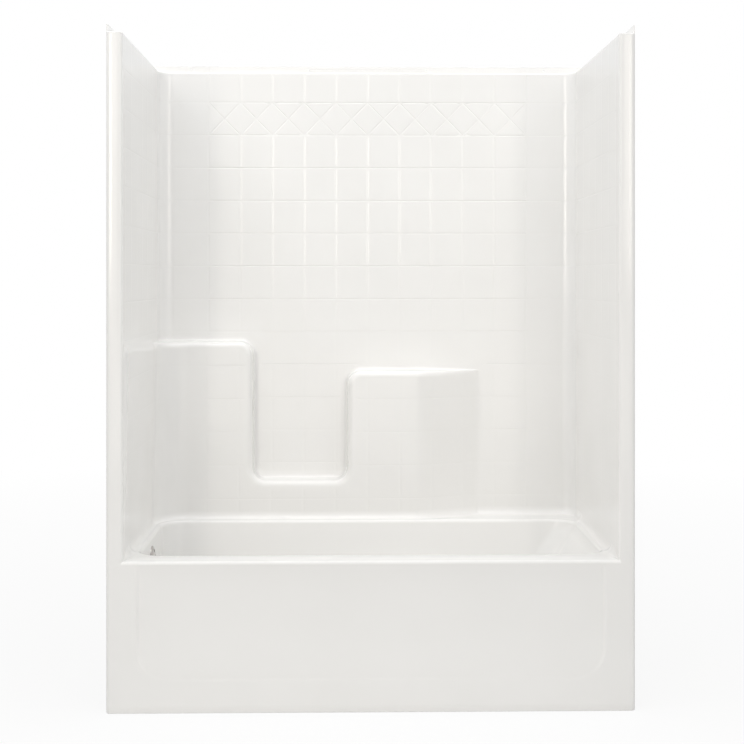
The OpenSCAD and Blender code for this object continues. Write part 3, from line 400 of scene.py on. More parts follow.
# path round both outer edges: back of the left return, round edge, front, and the same
edge_at, back_y = (EDGE_R - HALF_W, FRONT_Y + EDGE_R), FRONT_Y + RETURN_D
edge, edge_n = arc_points(edge_at, EDGE_R, 180, 270, 8)
left_p = np.concatenate([[[-HALF_W, back_y], [-HALF_W, FRONT_Y + 25]], edge[:-1]])
left_d = np.concatenate([[[1, 0], [1, 0]], -edge_n[:-1]])
mid_p = np.column_stack([front_x, np.full(len(front_x), FRONT_Y)])
mid_d = np.tile([0.0, 1.0], (len(front_x), 1))
flip = np.array([-1.0, 1.0])
path = np.concatenate([left_p, mid_p, (left_p * flip)[::-1]])
inward = np.concatenate([left_d, mid_d, (left_d * flip)[::-1]])
gx, gz = np.meshgrid(path[:, 0], front_z, indexing="xy")
dist = panel_distance(gx, gz)
# the recess fades out under the threshold, and is shallowest along its lower edge
deep = PANEL_D * ease((PANEL_SOFT - dist) / (2 * PANEL_SOFT)) * ease((lip - gz) / PANEL_FADE) ** 0.5
deep = deep * (PANEL_LEAST + (1 - PANEL_LEAST) * ease((gz - PANEL_Z) / PANEL_RISE))
face = np.stack([gx, np.tile(path[:, 1], (len(front_z), 1)) + deep, gz], axis=-1)
# the foot turns inward under the apron
foot_rows = []
for step, z in [(20.0, 0.0), (4.0, 0.0), (1.17, 1.17)]:
    row = path + step * inward
    row[:, 0] = np.clip(row[:, 0], step - HALF_W, HALF_W - step)
    row[:, 1] = np.maximum(row[:, 1], FRONT_Y + step)
    foot_rows.append(ring(row, z))
face = np.concatenate([np.array(foot_rows), face])
tub.sheet(face, np.array([0.0, -3000.0, 300.0]))

# column stubs between the apron and the walls' columns
bead_at = (-OPEN_X - BEAD_R, FRONT_Y + BEAD_R)
bead, _ = arc_points(bead_at, BEAD_R, 270, 360, 7)
stub = np.concatenate([left_p, [[-flat_mid, FRONT_Y]], bead,
                       [[-OPEN_X, FRONT_Y + THRESHOLD_R]]])
for s in (1, -1):
    plan = stub * np.array([s, 1.0])
    rows = np.array([ring(plan, z) for z in (lip, RIM_Z, SEAM_Z)])
    centre = np.array([-s * 740.0, -375.0, 440.0])
    tub.sheet(rows, 2 * rows.reshape(-1, 3)[sheet_faces(3, len(plan))].mean(axis=1) - centre)

tub_body = laminate(tub.mesh("tub_moulding"))

# Gelcoat: sprayed polyester, glossy off-white, with faint waviness and uneven wetting.
# Laminate: the rolled glass fibre back, duller, greenish grey and matted.


def nodes_of(name):
    """A new material with its shader and node tools."""
    mat = bpy.data.materials.new(name)
    mat.use_nodes = True
    tree = mat.node_tree
    return mat, tree, tree.nodes["Principled BSDF"]


def feed(tree, socket, given):
    """Links another node's output to an input, or gives the input a plain value."""
    if isinstance(given, bpy.types.NodeSocket):
        tree.links.new(given, socket)
    else:
        socket.default_value = given


def put(tree, kind, *sources, **values):
    """A new node. Keyword values are its properties, or inputs by their names; sources
    feed its first inputs in order."""
    node = tree.nodes.new(kind)
    for key, value in values.items():
        if hasattr(node, key):
            setattr(node, key, value)
        else:
            feed(tree, node.inputs[key.replace("_", " ")], value)
    for socket, source in zip(node.inputs, sources):
        feed(tree, socket, source)
    return node


def math_node(tree, operation, *sources):
    """Result of a math node."""
    return put(tree, "ShaderNodeMath", *sources, operation=operation).outputs[0]


def distance(tree, vector, point=(0, 0, 0)):
    """Distance from a vector to a point, in metres."""
    node = put(tree, "ShaderNodeVectorMath", vector, point, operation="DISTANCE")
    return node.outputs["Value"]


def coordinates(tree, **mapping):
    """Object coordinates in metres, moved, turned or stretched by a mapping."""
    where = put(tree, "ShaderNodeTexCoord").outputs["Object"]
    return put(tree, "ShaderNodeMapping", where, **mapping).outputs["Vector"]


def noise(tree, scale, detail=2.0, stretch=(1, 1, 1), rough=0.5):
    """Noise on Object coordinates, with scale in features per metre."""
    n = put(tree, "ShaderNodeTexNoise", coordinates(tree, Scale=stretch),
            Scale=scale, Detail=detail, Roughness=rough)
    return n.outputs["Fac"]


def span(tree, value, low, high, in_low=0.3, in_high=0.7):
    """The value, mapped from one range to another."""
    m = put(tree, "ShaderNodeMapRange", value, From_Min=in_low, From_Max=in_high,
            To_Min=low, To_Max=high)
    return m.outputs["Result"]


def blend_colours(tree, value, first, second):
    """Colour from first to second as the value goes from 0 to 1."""
    ramp = put(tree, "ShaderNodeValToRGB", value)
    ramp.color_ramp.elements[0].color = (*first, 1)
    ramp.color_ramp.elements[1].color = (*second, 1)
    return ramp.outputs["Color"]


def mix_colours(tree, share, first, second):
    """Colour from first to second by a share; a colour is a socket or four numbers."""
    mix = put(tree, "ShaderNodeMix", share, data_type="RGBA")
    feed(tree, mix.inputs[6], first)
    feed(tree, mix.inputs[7], second)
    return mix.outputs[2]


def bumps(tree, shader, value, strength, depth):
    """Adds bump of that depth in metres to a shader."""
    b = put(tree, "ShaderNodeBump", Strength=strength, Distance=depth, Height=value)
    tree.links.new(b.outputs["Normal"], shader.inputs["Normal"])


gelcoat, tree, shader = nodes_of("gelcoat")
colour = blend_colours(tree, span(tree, noise(tree, 3.0), 0, 1),
                       (0.905, 0.900, 0.886), (0.922, 0.917, 0.905))
tree.links.new(colour, shader.inputs["Base Color"])
tree.links.new(span(tree, noise(tree, 3.0, 1.0), 0.16, 0.20), shader.inputs["Roughness"])
shader.inputs["IOR"].default_value = 1.5
bumps(tree, shader, noise(tree, 30.0, 1.0), 0.03, 0.001)

laminate_back, tree, shader = nodes_of("laminate_back")
fibres = noise(tree, 160.0, 4.0, rough=0.7)
colour = blend_colours(tree, span(tree, fibres, 0, 1, 0.35, 0.65),
                       (0.46, 0.46, 0.36), (0.66, 0.66, 0.55))
tree.links.new(colour, shader.inputs["Base Color"])
shader.inputs["Roughness"].default_value = 0.55
bumps(tree, shader, fibres, 0.6, 0.001)


def dress(obj, *materials):
    """Puts materials on a new piece in slot order."""
    for m in materials:
        obj.data.materials.append(m)
    return obj


dress(tub_body, gelcoat, laminate_back)
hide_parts("tub_section")
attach(tub_body, "unit")

# Back wall section: a one-piece moulding with the tile grooves, the lattice band, two
# ledges and the bottle recess. It hangs on the studs by its nailing flange, and its
# edges turn back into joint flanges that are bolted to the end sections.

# the top edge, the whole height, half the wall's width and the reach of the ledges
TOP_Z, UNIT_H, SEAM_X, LEDGE_D = 1957.0, 1981.0, 546.7, 80.0
# the tiles and the top of their highest row, the grooves between them
TILE_W, TILE_H, TILE_TOP = 109.35, 112.57, 1854.4
GROOVE_HALF, UPRIGHT_DEEP, UPRIGHT_HALF = 3.2, 0.95, 6.0
# heights of the ledges and the recess floor, the recess sides, radii of the ledge's
# outline, nose and foot, draft of its face, the top edge's roll and the nailing flange
LEDGE_LEFT, RECESS_Z, LEDGE_MID = 1033.0, 563.0, 933.0
RECESS_X0, RECESS_X1 = -392.0, -68.0
OUTLINE_R, NOSE_R, FOOT_R, DRAFT = 45.0, 20.0, 13.0, 2.0
TOP_R, FLANGE_T = 5.0, 4.0
COLS = 10
ROW_Z = TILE_TOP - TILE_H * np.arange(13)
COL_X = TILE_W * (np.arange(COLS + 1) - COLS // 2)


def groove(offset, deep=1.1, half=GROOVE_HALF):
    """Depth of a rounded groove at a distance from its middle: a cosine bell."""
    t = np.clip(np.abs(offset) / half, 0, 1)
    return deep * 0.5 * (1 + np.cos(np.pi * t))


def upright_groove(offset):
    """Depth of an upright groove, which is broader than a level one."""
    return groove(offset, UPRIGHT_DEEP, UPRIGHT_HALF)


def nearest(values, lines):
    """Distance from each value to the nearest of some parallel lines."""
    return np.abs(np.asarray(values)[..., None] - np.asarray(lines)).min(axis=-1)


def level_groove(z):
    """Depth of the level grooves: a quarter at the foot of the wall, and full by 1400."""
    return groove(nearest(z, ROW_Z)) * (0.25 + 0.75 * ease((z - 700) / 700))


def short_of_rows(z):
    """Share of an upright groove's depth: it runs out just short of each level groove, and
    the lower tiles are cut less deep."""
    return ease((nearest(z, ROW_Z) - 2.0) / 6.0) * (0.3 + 0.7 * ease((z - 1000) / 250))


def corner_distance(x, z, sx, sz, cx, cz, r):
    """Signed distance to a quarter-plane corner at (cx, cz) with its edge rounded by
    radius r. The solid lies on the far side from (sx, sz)."""
    a = sx * (x - cx) + r
    b = sz * (z - cz) + r
    out = np.hypot(np.maximum(a, 0), np.maximum(b, 0)) - r
    return np.where((a <= 0) & (b <= 0), np.maximum(a, b) - r, out)


def ledge_distance(x, z):
    """Signed distance to the outline of the ledge form, negative inside it: the left block
    and the middle block are rounded corners, and the recess floor joins them in fillets."""
    left = corner_distance(x, z, 1, 1, RECESS_X0, LEDGE_LEFT, OUTLINE_R)
    right = corner_distance(x, z, -1, 1, RECESS_X1, LEDGE_MID, OUTLINE_R)
    middle = 0.5 * (RECESS_X0 + RECESS_X1)
    side = np.where(x < middle, x - RECESS_X0, RECESS_X1 - x)
    low = z - RECESS_Z
    a, b = OUTLINE_R - side, OUTLINE_R - low
    inner = np.where((a > 0) & (b > 0), OUTLINE_R - np.hypot(a, b), np.minimum(side, low))
    by_recess = (x > RECESS_X0 - 60) & (x < RECESS_X1 + 60) & (z < RECESS_Z + OUTLINE_R)
    return np.where(by_recess, inner, np.where(x < middle, left, right))


# profile across the ledge's edge: offset outward, share of the full depth
nose_a = np.linspace(0, np.pi / 2, 9)
foot_a = np.linspace(0, np.pi / 2, 6)
EDGE_O = np.concatenate([-NOSE_R + NOSE_R * np.sin(nose_a), [DRAFT * 0.5],
                         DRAFT + FOOT_R * (1 - np.cos(foot_a))])
EDGE_H = np.concatenate([LEDGE_D - NOSE_R * (1 - np.cos(nose_a)),
                         [0.5 * (LEDGE_D - NOSE_R + FOOT_R)],
                         FOOT_R * (1 - np.sin(foot_a))]) / LEDGE_D


def ledge_share(o):
    """Share of the full ledge depth at a signed distance from its outline: a round nose,
    a steep face with a little draft, and a round foot on the wall."""
    return np.interp(o, EDGE_O, EDGE_H, left=1.0, right=0.0)


def ledge_amount(x):
    """Forward reach of the ledge form along the wall: full, then tapering to nothing,
    with both bends eased."""
    t = (TAPER_X1 - x) / (TAPER_X1 - TAPER_X0)
    soft = 0.04

    def rise(t):
        bend = (np.clip(t, -soft, soft) + soft) ** 2 / (4 * soft)
        return np.where(t > soft, t, bend)

    return LEDGE_D * (rise(t) - rise(t - 1))


def lattice_distance(x, z):
    """Distance to the nearer diagonal of the tile cell that holds the point."""
    u = (x / TILE_W) % 1.0 * TILE_W
    w = z - (TILE_TOP - TILE_H)
    d = np.hypot(TILE_W, TILE_H)
    one = np.abs(u * TILE_H - w * TILE_W) / d
    two = np.abs(u * TILE_H + w * TILE_W - TILE_W * TILE_H) / d
    in_cells = (z < TILE_TOP) & (z > TILE_TOP - TILE_H) & (np.abs(x) < SEAM_X + 0.1)
    return np.where(in_cells, np.minimum(one, two), 99.0)


ACROSS = np.array([-1.2, -0.85, -0.55, -0.27, 0, 0.27, 0.55, 0.85, 1.2])


def grid_lines(lines, low, high, step, half=GROOVE_HALF):
    """Grid positions: several across each groove, then even steps in between."""
    near = (np.asarray(lines)[:, None] + ACROSS * half).ravel()
    even = np.linspace(low, high, int(round((high - low) / step)) + 1)
    even = even[nearest(even, lines) > 1.8 * half]
    every = np.unique(np.round(np.concatenate([near, even, [low, high]]), 3))
    every = every[(every >= low) & (every <= high)]
    return every[np.concatenate([[True], np.diff(every) > 0.3])]


def outline_rows(step):
    """Rows of points along the ledge outline, one for each offset of its edge profile:
    straight runs and corner arcs, sampled evenly and pushed along their normals."""
    parts = []

    def run(p, q, n):
        count = max(2, int(math.dist(p, q) / step))
        t = np.linspace(0, 1, count, endpoint=False)[:, None]
        parts.append((np.array(p) + t * (np.array(q) - np.array(p)), np.tile(n, (count, 1))))

    def arc(cx, cz, a0, a1, sign):
        p, n = arc_points((cx, cz), OUTLINE_R, a0, a1, 16)
        parts.append((p[:-1], sign * n[:-1]))

    r = OUTLINE_R
    run((-SEAM_X, LEDGE_LEFT), (RECESS_X0 - r, LEDGE_LEFT), (0.0, 1.0))
    arc(RECESS_X0 - r, LEDGE_LEFT - r, 90, 0, 1)
    run((RECESS_X0, LEDGE_LEFT - r), (RECESS_X0, RECESS_Z + r), (1.0, 0.0))
    arc(RECESS_X0 + r, RECESS_Z + r, 180, 270, -1)
    run((RECESS_X0 + r, RECESS_Z), (RECESS_X1 - r, RECESS_Z), (0.0, 1.0))
    arc(RECESS_X1 - r, RECESS_Z + r, 270, 360, -1)
    run((RECESS_X1, RECESS_Z + r), (RECESS_X1, LEDGE_MID - r), (-1.0, 0.0))
    arc(RECESS_X1 + r, LEDGE_MID - r, 180, 90, 1)
    run((RECESS_X1 + r, LEDGE_MID), (TAPER_X1 + 30, LEDGE_MID), (0.0, 1.0))
    base = np.concatenate([p for p, n in parts])
    normal = np.concatenate([n for p, n in parts])
    return [base + o * normal for o in EDGE_O]


def clear_of_edge(offset):
    """Share of a groove's depth at a signed distance from the ledge's outline: none on
    the round edge itself, and full on either side of it."""
    return ease((np.abs(offset + 2) - 20) / 10)


# flat layout: groove grid, rows along the lattice's diagonals, rows along the ledge edge
wall_x = grid_lines(COL_X, -SEAM_X, SEAM_X, 16, UPRIGHT_HALF)
wall_z = grid_lines(ROW_Z, SEAM_Z, TOP_Z - TOP_R, 16)
gx, gz = np.meshgrid(wall_x, wall_z, indexing="ij")
grid = np.stack([gx.ravel(), gz.ravel()], axis=1)
o = ledge_distance(grid[:, 0], grid[:, 1])
by_edge = (o > -NOSE_R - 2) & (o < DRAFT + FOOT_R + 2) & (grid[:, 0] < TAPER_X1 + 32)
CELL_RIM, LATTICE_RIM = 5.0, 4.9
in_cell = (grid[:, 1] < TILE_TOP - CELL_RIM) & (grid[:, 1] > TILE_TOP - TILE_H + CELL_RIM)
in_cell &= nearest(grid[:, 0], COL_X) > CELL_RIM
layout = [grid[~by_edge & ~in_cell]]
t = np.linspace(0.04, 0.96, 30)[:, None]
for i in range(COLS):
    for s in (1, -1):
        x0 = (i - COLS // 2) * TILE_W + (0 if s > 0 else TILE_W)
        along = np.array([s * TILE_W, TILE_H])
        beside = np.array([TILE_H, -s * TILE_W]) / np.hypot(TILE_W, TILE_H)
        for k in ACROSS * GROOVE_HALF:
            p = np.array([x0, TILE_TOP - TILE_H]) + t * along + k * beside
            middle_x = (i + 0.5 - COLS // 2) * TILE_W
            inner = np.abs(p[:, 0] - middle_x) < TILE_W / 2 - LATTICE_RIM
            inner &= np.abs(p[:, 1] - TILE_TOP + TILE_H / 2) < TILE_H / 2 - LATTICE_RIM
            layout.append(p[inner])
for row in outline_rows(5.0):
    layout.append(row[row[:, 1] > SEAM_Z + 1])
wall_uv, wall_f = triangulate(np.concatenate(layout))
o = ledge_distance(wall_uv[:, 0], wall_uv[:, 1])
fade = np.where(wall_uv[:, 0] > TAPER_X1 + 30, 1.0, clear_of_edge(o))
cut = upright_groove(nearest(wall_uv[:, 0], COL_X)) * short_of_rows(wall_uv[:, 1])
in_band = (wall_uv[:, 1] > TILE_TOP - TILE_H) & (wall_uv[:, 1] < TILE_TOP)
cut = np.where(in_band & (np.abs(wall_uv[:, 0]) < SEAM_X - 20), 0.0, cut)
cut = np.maximum(cut, level_groove(wall_uv[:, 1]))
cut = np.maximum(cut, groove(lattice_distance(wall_uv[:, 0], wall_uv[:, 1])))
wall_y = WALL_Y - ledge_amount(wall_uv[:, 0]) * ledge_share(o) + cut * fade
back = Skin()
room = np.array([0.0, -2500.0, 1200.0])
back.add(np.column_stack([wall_uv[:, 0], wall_y, wall_uv[:, 1]]), wall_f, room)
# the top edge rolls over into a narrow shelf in front of the nailing flange
roll = np.radians(np.linspace(0, 90, 8))
over = np.append(TOP_R * (1 - np.cos(roll)), BACK_Y - FLANGE_T - WALL_Y)
up = np.append(TOP_Z - TOP_R + TOP_R * np.sin(roll), TOP_Z)
keep = (1 - ease(over / 8))[:, None]
shelf = np.stack([np.tile(wall_x, (len(over), 1)),
                  WALL_Y + over[:, None] + keep * upright_groove(nearest(wall_x, COL_X)),
                  np.tile(up[:, None], (1, len(wall_x)))], axis=-1)
back.sheet(shelf, np.array([0.0, -2500.0, 4200.0]))
back_body = dress(laminate(back.mesh("back_wall_moulding")), gelcoat, laminate_back)
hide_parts("back_wall_section")
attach(back_body, "unit")


def oblong(u, v):
    """Outline of a rectangle from its two spans."""
    return [(u[0], v[0]), (u[1], v[0]), (u[1], v[1]), (u[0], v[1])]


def plate(name, outline, low, high, axis, holes=(), soft=0.8):
    """A flat web or board: an outline in the plane across the axis, with round holes
    (u, v, r), given thickness from low to high along the axis, its edges softened."""
    a = np.linspace(0, 2 * np.pi, 25)[:-1]
    loops = [np.asarray(outline, float)]
    loops += [np.column_stack([u + r * np.cos(a), v + r * np.sin(a)]) for u, v, r in holes]
    flat, faces = triangulate(np.concatenate(loops), closed_edges(*loops))
    faces = np.array(faces)
    mid = flat[faces].mean(axis=1)
    kept = inside(mid, loops[0])
    for u, v, r in holes:
        kept &= np.hypot(mid[:, 0] - u, mid[:, 1] - v) > r * 0.99
    faces = faces[kept]
    a, b, c = flat[faces[:, 0]], flat[faces[:, 1]], flat[faces[:, 2]]
    turn = (b[:, 0] - a[:, 0]) * (c[:, 1] - a[:, 1]) - (b[:, 1] - a[:, 1]) * (c[:, 0] - a[:, 0])
    faces = np.where(turn[:, None] > 0, faces, faces[:, ::-1])
    half = np.concatenate([faces[:, [0, 1]], faces[:, [1, 2]], faces[:, [2, 0]]])
    key = {tuple(e) for e in half.tolist()}
    rim = np.array([e for e in half.tolist() if (e[1], e[0]) not in key])
    n = len(flat)
    order = {2: (0, 1, 2), 1: (0, 2, 1), 0: (2, 0, 1)}[axis]
    pts = np.concatenate([ring(flat, low), ring(flat, high)])[:, order]
    walls = np.column_stack([rim[:, 0], rim[:, 1], rim[:, 1] + n, rim[:, 0] + n])
    every = faces[:, ::-1].tolist() + (faces + n).tolist() + walls.tolist()
    if axis == 1:
        every = [f[::-1] for f in every]
    obj = mesh_object(name, pts * MM, every)
    mod = obj.modifiers.new("soft", "BEVEL")
    mod.width, mod.segments, mod.limit_method = soft * MM, 2, "ANGLE"
    mod.angle_limit = math.radians(50)
    obj.data.shade_smooth()
    obj.modifiers.new("even", "WEIGHTED_NORMAL").keep_sharp = False
    return obj


def web(name, node, outline, low, high, axis, holes, mat=laminate_back):
    """A flat web of one of the mouldings, bare laminate or gelcoated."""
    obj = dress(plate(name, outline, low, high, axis, holes), mat)
    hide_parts(node)
    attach(obj, "unit")


def face_line(g):
    """Plan of the lower wall face from the left front to the right front, set back by g:
    side, big corner, ledge front, tapered face, back wall, small corner, side."""
    slope = math.atan2(LEDGE_D, TAPER_X1 - TAPER_X0)
    shift = g * math.tan(slope / 2)
    front = back_y + SKIN
    big, _ = arc_points(BIG_AT, LOW_CORNER_R + g, 180, 90, 25)
    small, _ = arc_points(SMALL_AT, CORNER_R + g, 90, 0, 15)
    line = np.concatenate([[[-OPEN_X - g, front]], big,
                           [[TAPER_X0 - shift, LOW_Y + g], [TAPER_X1 - shift, WALL_Y + g]],
                           small, [[OPEN_X + g, front]]])
    line[:, 1] = np.minimum(line[:, 1], BACK_Y)
    return line


def strip(x_low, x_high):
    """Outline of the level joint flange behind the wall face between two X positions."""
    sides = []
    for line in (face_line(SKIN - 0.5), face_line(SKIN + FLANGE_REACH)):
        low_y, high_y = np.interp([x_low, x_high], line[2:-2, 0], line[2:-2, 1])
        side = line[(line[:, 0] > x_low) & (line[:, 0] < x_high)]
        if x_low > -OPEN_X:
            side = np.concatenate([[[x_low, low_y]], side])
        if x_high < OPEN_X:
            side = np.concatenate([side, [[x_high, high_y]]])
        sides.append(side)
    return np.concatenate([sides[0], sides[1][::-1]])


JOINT_Y, BOLT_R = BACK_Y - 10.5, 3.3
# foam tape, gap at a flange's end, a width past all flanges, and their reach backwards
TAPE_T, GAP, BEYOND, FLANGE_REACH = 2.0, 1.0, 800.0, 30.0
level_bolts = [(x, LOW_Y + 19.0, BOLT_R) for x in (-450, -150, 150)] + [(450, JOINT_Y, BOLT_R)]
side_bolts = [(s * flat_mid, y, BOLT_R) for s in (-1, 1) for y in (-200, 100)]
upright_bolts = [(JOINT_Y, z, BOLT_R) for z in (700.0, 1200.0, 1700.0)]
tub_flange = (SEAM_Z - TAPE_T - SKIN, SEAM_Z - TAPE_T)
wall_flange = (SEAM_Z, SEAM_Z + SKIN)
web("tub_joint_flange", "tub_section", strip(-BEYOND, BEYOND), *tub_flange, 2,
    level_bolts + side_bolts)
web("back_joint_flange", "back_wall_section", strip(-SEAM_X + GAP, SEAM_X - GAP),
    *wall_flange, 2, level_bolts)


def upright(low_wall):
    """Outline, in Y and Z, of an upright joint flange behind the wall and the ledges."""
    low, high, wall = wall_flange[1], TOP_Z - SKIN + 1, WALL_Y + SKIN - 1
    ledge = LOW_Y + SKIN - 1
    back_edge = [(BACK_Y, low), (BACK_Y, high), (wall, high)]
    if low_wall:
        under_ledge = [(wall, LEDGE_LEFT - 15), (ledge + 20, LEDGE_LEFT - 25),
                       (ledge, LEDGE_LEFT - 33)]
        return [(ledge, low)] + back_edge + under_ledge
    return [(wall, low)] + back_edge


web("back_left_joint", "back_wall_section", upright(True),
    -SEAM_X + GAP, -SEAM_X + GAP + SKIN, 0, upright_bolts)
web("back_right_joint", "back_wall_section", upright(False),
    SEAM_X - GAP - SKIN, SEAM_X - GAP, 0, upright_bolts)
NAIL_Z, NAIL_R, STUD = 1969.0, 2.5, 406.4
FLANGE_Z = TOP_Z - SKIN
stud_holes = [(s * STUD / 2, NAIL_Z, NAIL_R) for s in (-1, 1)]
web("back_nailing_flange", "back_wall_section",
    oblong((-SEAM_X, SEAM_X), (FLANGE_Z, UNIT_H)),
    BACK_Y - FLANGE_T, BACK_Y, 1, stud_holes, gelcoat)

# Left and right wall sections: each is one moulding with its front column, its side wall,
# its round back corner and the grooves that carry on from the back wall. The left one also
# has the corner ledge and the low raised panel along the side.
SIDE_Y = 303.7 - TILE_W * np.arange(7)
(END_X, END_Y), REAR_LINE_X = SMALL_AT, 673.0
# share of an upright groove's depth on the side walls
SIDE_SHARE = 0.25


def end_plan():
    """Upper plan path of the left section from the side return round the column, along
    the side wall and the corner to the joint: points and the directions into the wall."""
    edge, edge_n = arc_points(edge_at, EDGE_R, 180, 270, 9)
    bead, bead_n = arc_points(bead_at, BEAD_R, 270, 360, 8)
    cove, cove_n = arc_points((-END_X, END_Y), CORNER_R, 180, 90, 16)
    side = grid_lines(SIDE_Y, FRONT_Y + BEAD_R, END_Y, 14, UPRIGHT_HALF)[1:-1]
    rear = -grid_lines([SEAM_X, REAR_LINE_X], SEAM_X, END_X, 9, UPRIGHT_HALF)[::-1][1:]
    parts = [
        ([[-HALF_W, back_y], [-HALF_W, FRONT_Y + 25.5]], [[1, 0]] * 2),
        (edge, -edge_n),
        ([[-742, FRONT_Y], [-732, FRONT_Y]], [[0, 1]] * 2),
        (bead, -bead_n),
        (np.column_stack([np.full(len(side), -OPEN_X), side]), [[-1, 0]] * len(side)),
        (cove, cove_n),
        (np.column_stack([rear, np.full(len(rear), WALL_Y)]), [[0, 1]] * len(rear))]
    return (np.concatenate([np.array(p, float) for p, n in parts]),
            np.concatenate([np.array(n, float) for p, n in parts]))


plan, into = end_plan()
run = np.append(0, np.cumsum(np.hypot(*np.diff(plan, axis=0).T)))
on_side = (np.abs(plan[:, 0] + OPEN_X) < 0.01) & (plan[:, 1] > FRONT_Y + BEAD_R + 0.5)
turn_x, turn_y = BIG_AT
by_joint = (plan[:, 1] > WALL_Y - 0.01) & (plan[:, 0] > turn_x)
mark = np.interp(turn_y, plan[on_side, 1], run[on_side])
last = np.interp(turn_x, plan[-12:, 0], run[-12:])
part = np.clip((run - mark) / (last - mark), 0, 1)
corner_a = np.radians(180 - 90 * part)
low_into = np.column_stack([np.cos(corner_a), np.sin(corner_a)])
low_plan = np.array(BIG_AT) + LOW_CORNER_R * low_into
low_plan = np.where((run <= mark)[:, None], plan, low_plan)
low_plan[by_joint] = ring(plan[by_joint, 0], LOW_Y)
low_into = np.where((run <= mark)[:, None], into, low_into)
wall_part = ease((run - run[on_side][0]) / 25)
groove_part = ease((run - run[on_side][0] - 8) / 14)
on_rear = plan[:, 1] > WALL_Y - 1
upright_cut = SIDE_SHARE * upright_groove(nearest(plan[:, 1], SIDE_Y)) * on_side
upright_cut += upright_groove(nearest(plan[:, 0], [-SEAM_X, -REAR_LINE_X])) * on_rear


PROUD, CLIMB, COLUMN_TOP_R = 10.0, 14.0, 3.0


def end_moulding(side, name, node):
    """One end section. Rows of points run up the wall; on the left each row moves from the
    lower plan to the upper one through the ledge's edge profile."""
    rows = grid_lines(ROW_Z, SEAM_Z, TOP_Z - TOP_R, 14)
    ledge_rows = LEDGE_LEFT + EDGE_O
    if side < 0:
        rows = rows[(rows < ledge_rows[0] - 1.5) | (rows > ledge_rows[-1] + 1.5)]
        rows = np.sort(np.concatenate([rows, ledge_rows]))
    z = rows[:, None]
    share = ledge_share(z - LEDGE_LEFT) if side < 0 else 0 * z
    base = plan[None] * (1 - share[..., None]) + low_plan[None] * share[..., None]
    facing = into[None] * (1 - share[..., None]) + low_into[None] * share[..., None]
    facing /= np.linalg.norm(facing, axis=-1)[..., None]
    near_edge = clear_of_edge(z - LEDGE_LEFT) if side < 0 else 1.0
    # level grooves are shallower here than on the back wall, and more so away from it
    level = level_groove(z) * near_edge
    level = level * (0.35 - 0.12 * ease((END_Y - plan[:, 1]) / 120))[None]
    faint = np.where(z < LEDGE_LEFT, 0.6, 1.0) if side < 0 else 1.0
    upright_lines = upright_cut[None] * faint * near_edge * short_of_rows(z)
    cut = np.maximum(level, upright_lines) * groove_part[None]
    lift = 0 * z
    if side < 0:
        # the low panel stands proud by up to PROUD, and its top edge climbs by CLIMB
        panel = PROUD * (z - SEAM_Z) / (LEDGE_LEFT - SEAM_Z)
        panel = panel * (1 - ease((z - LEDGE_LEFT + 18) / 33))
        cut = cut - panel * (wall_part * (1 - ease(part * 2)))[None]
        lift = ease((z - 960) / 40) * np.clip((LEDGE_LEFT + 30 - z) / 15, 0, 1)
        lift = CLIMB * lift * ease((140 - plan[:, 1]) / 450)[None] * wall_part[None]
    xy = base + facing * cut[..., None]
    height = np.broadcast_to(z + lift, xy.shape[:2])
    sheet = np.concatenate([xy, height[..., None]], axis=-1)
    # the rows above roll over the top edge, with a small radius on the column
    r = (COLUMN_TOP_R + (TOP_R - COLUMN_TOP_R) * wall_part)[None]
    t = roll[1:, None]
    top_cut = upright_cut[None] * groove_part[None] * (1 - ease(r * (1 - np.cos(t)) / 8))
    xy = plan[None] + into[None] * (r * (1 - np.cos(t)) + top_cut)[..., None]
    height = TOP_Z - r + r * np.sin(t)
    rolled = np.concatenate([xy, height[..., None]], axis=-1)
    sheet = np.concatenate([sheet, rolled])
    flip = np.array([1.0 if side < 0 else -1.0, 1.0, 1.0])
    skin = Skin()
    faces = sheet_faces(*sheet.shape[:2])
    mid = sheet.reshape(-1, 3)[faces].mean(axis=1)
    col = faces[:, 0] % sheet.shape[1]
    look = mid + np.column_stack([-into[col], np.full(len(col), 0.3)]) * 500
    skin.add(sheet.reshape(-1, 3) * flip, faces, look * flip)
    # flat top behind the rolled edge, out to the nailing flanges
    rim = sheet[-1][:, :2]
    outer = np.array([[-SEAM_X, BACK_Y - 2], [-HALF_W + 2, BACK_Y - 2], [-HALF_W + 2, back_y]])
    loop = np.concatenate([rim, outer])
    flat, tris = triangulate(loop, closed_edges(loop))
    tris = np.array(tris)
    tris = tris[inside(flat[tris].mean(axis=1), loop)]
    skin.add(ring(flat, TOP_Z) * flip, tris, np.array([0.0, 0.0, 9000.0]))
    body = dress(laminate(skin.mesh(name)), gelcoat, laminate_back)
    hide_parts(node)
    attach(body, "unit")


for side, word in ((-1, "left"), (1, "right")):
    node = word + "_wall_section"
    end_moulding(side, word + "_wall_moulding", node)
    inner = side * (HALF_W - FLANGE_T)
    front = FRONT_Y + EDGE_R
    web(word + "_nailing_flange", node, oblong((front, BACK_Y), (FLANGE_Z, UNIT_H)),
        *sorted((side * HALF_W, inner)), 0, stud_holes, gelcoat)
    web(word + "_corner_flange", node,
        oblong(sorted((side * SEAM_X, inner)), (FLANGE_Z, UNIT_H)),
        BACK_Y - FLANGE_T, BACK_Y, 1, [(side * 1.5 * STUD, NAIL_Z, NAIL_R)], gelcoat)
    spans = sorted((side * BEYOND, side * (SEAM_X + GAP)))
    web(word + "_joint_flange", node, strip(*spans), *wall_flange, 2,
        [b for b in side_bolts if b[0] * side > 0])
    x0, x1 = sorted((side * (SEAM_X + GAP), side * (SEAM_X + GAP + SKIN)))
    web(word + "_upright_joint", node, upright(side < 0), x0, x1, 0, upright_bolts)

# Backing boards: rotary-cut plywood bonded to the back of the wall skins, and strand board
# under the basin. The plies show as bands along the sawn edges.
PLY_T, PLY_PAIRS = 0.012, 2.5


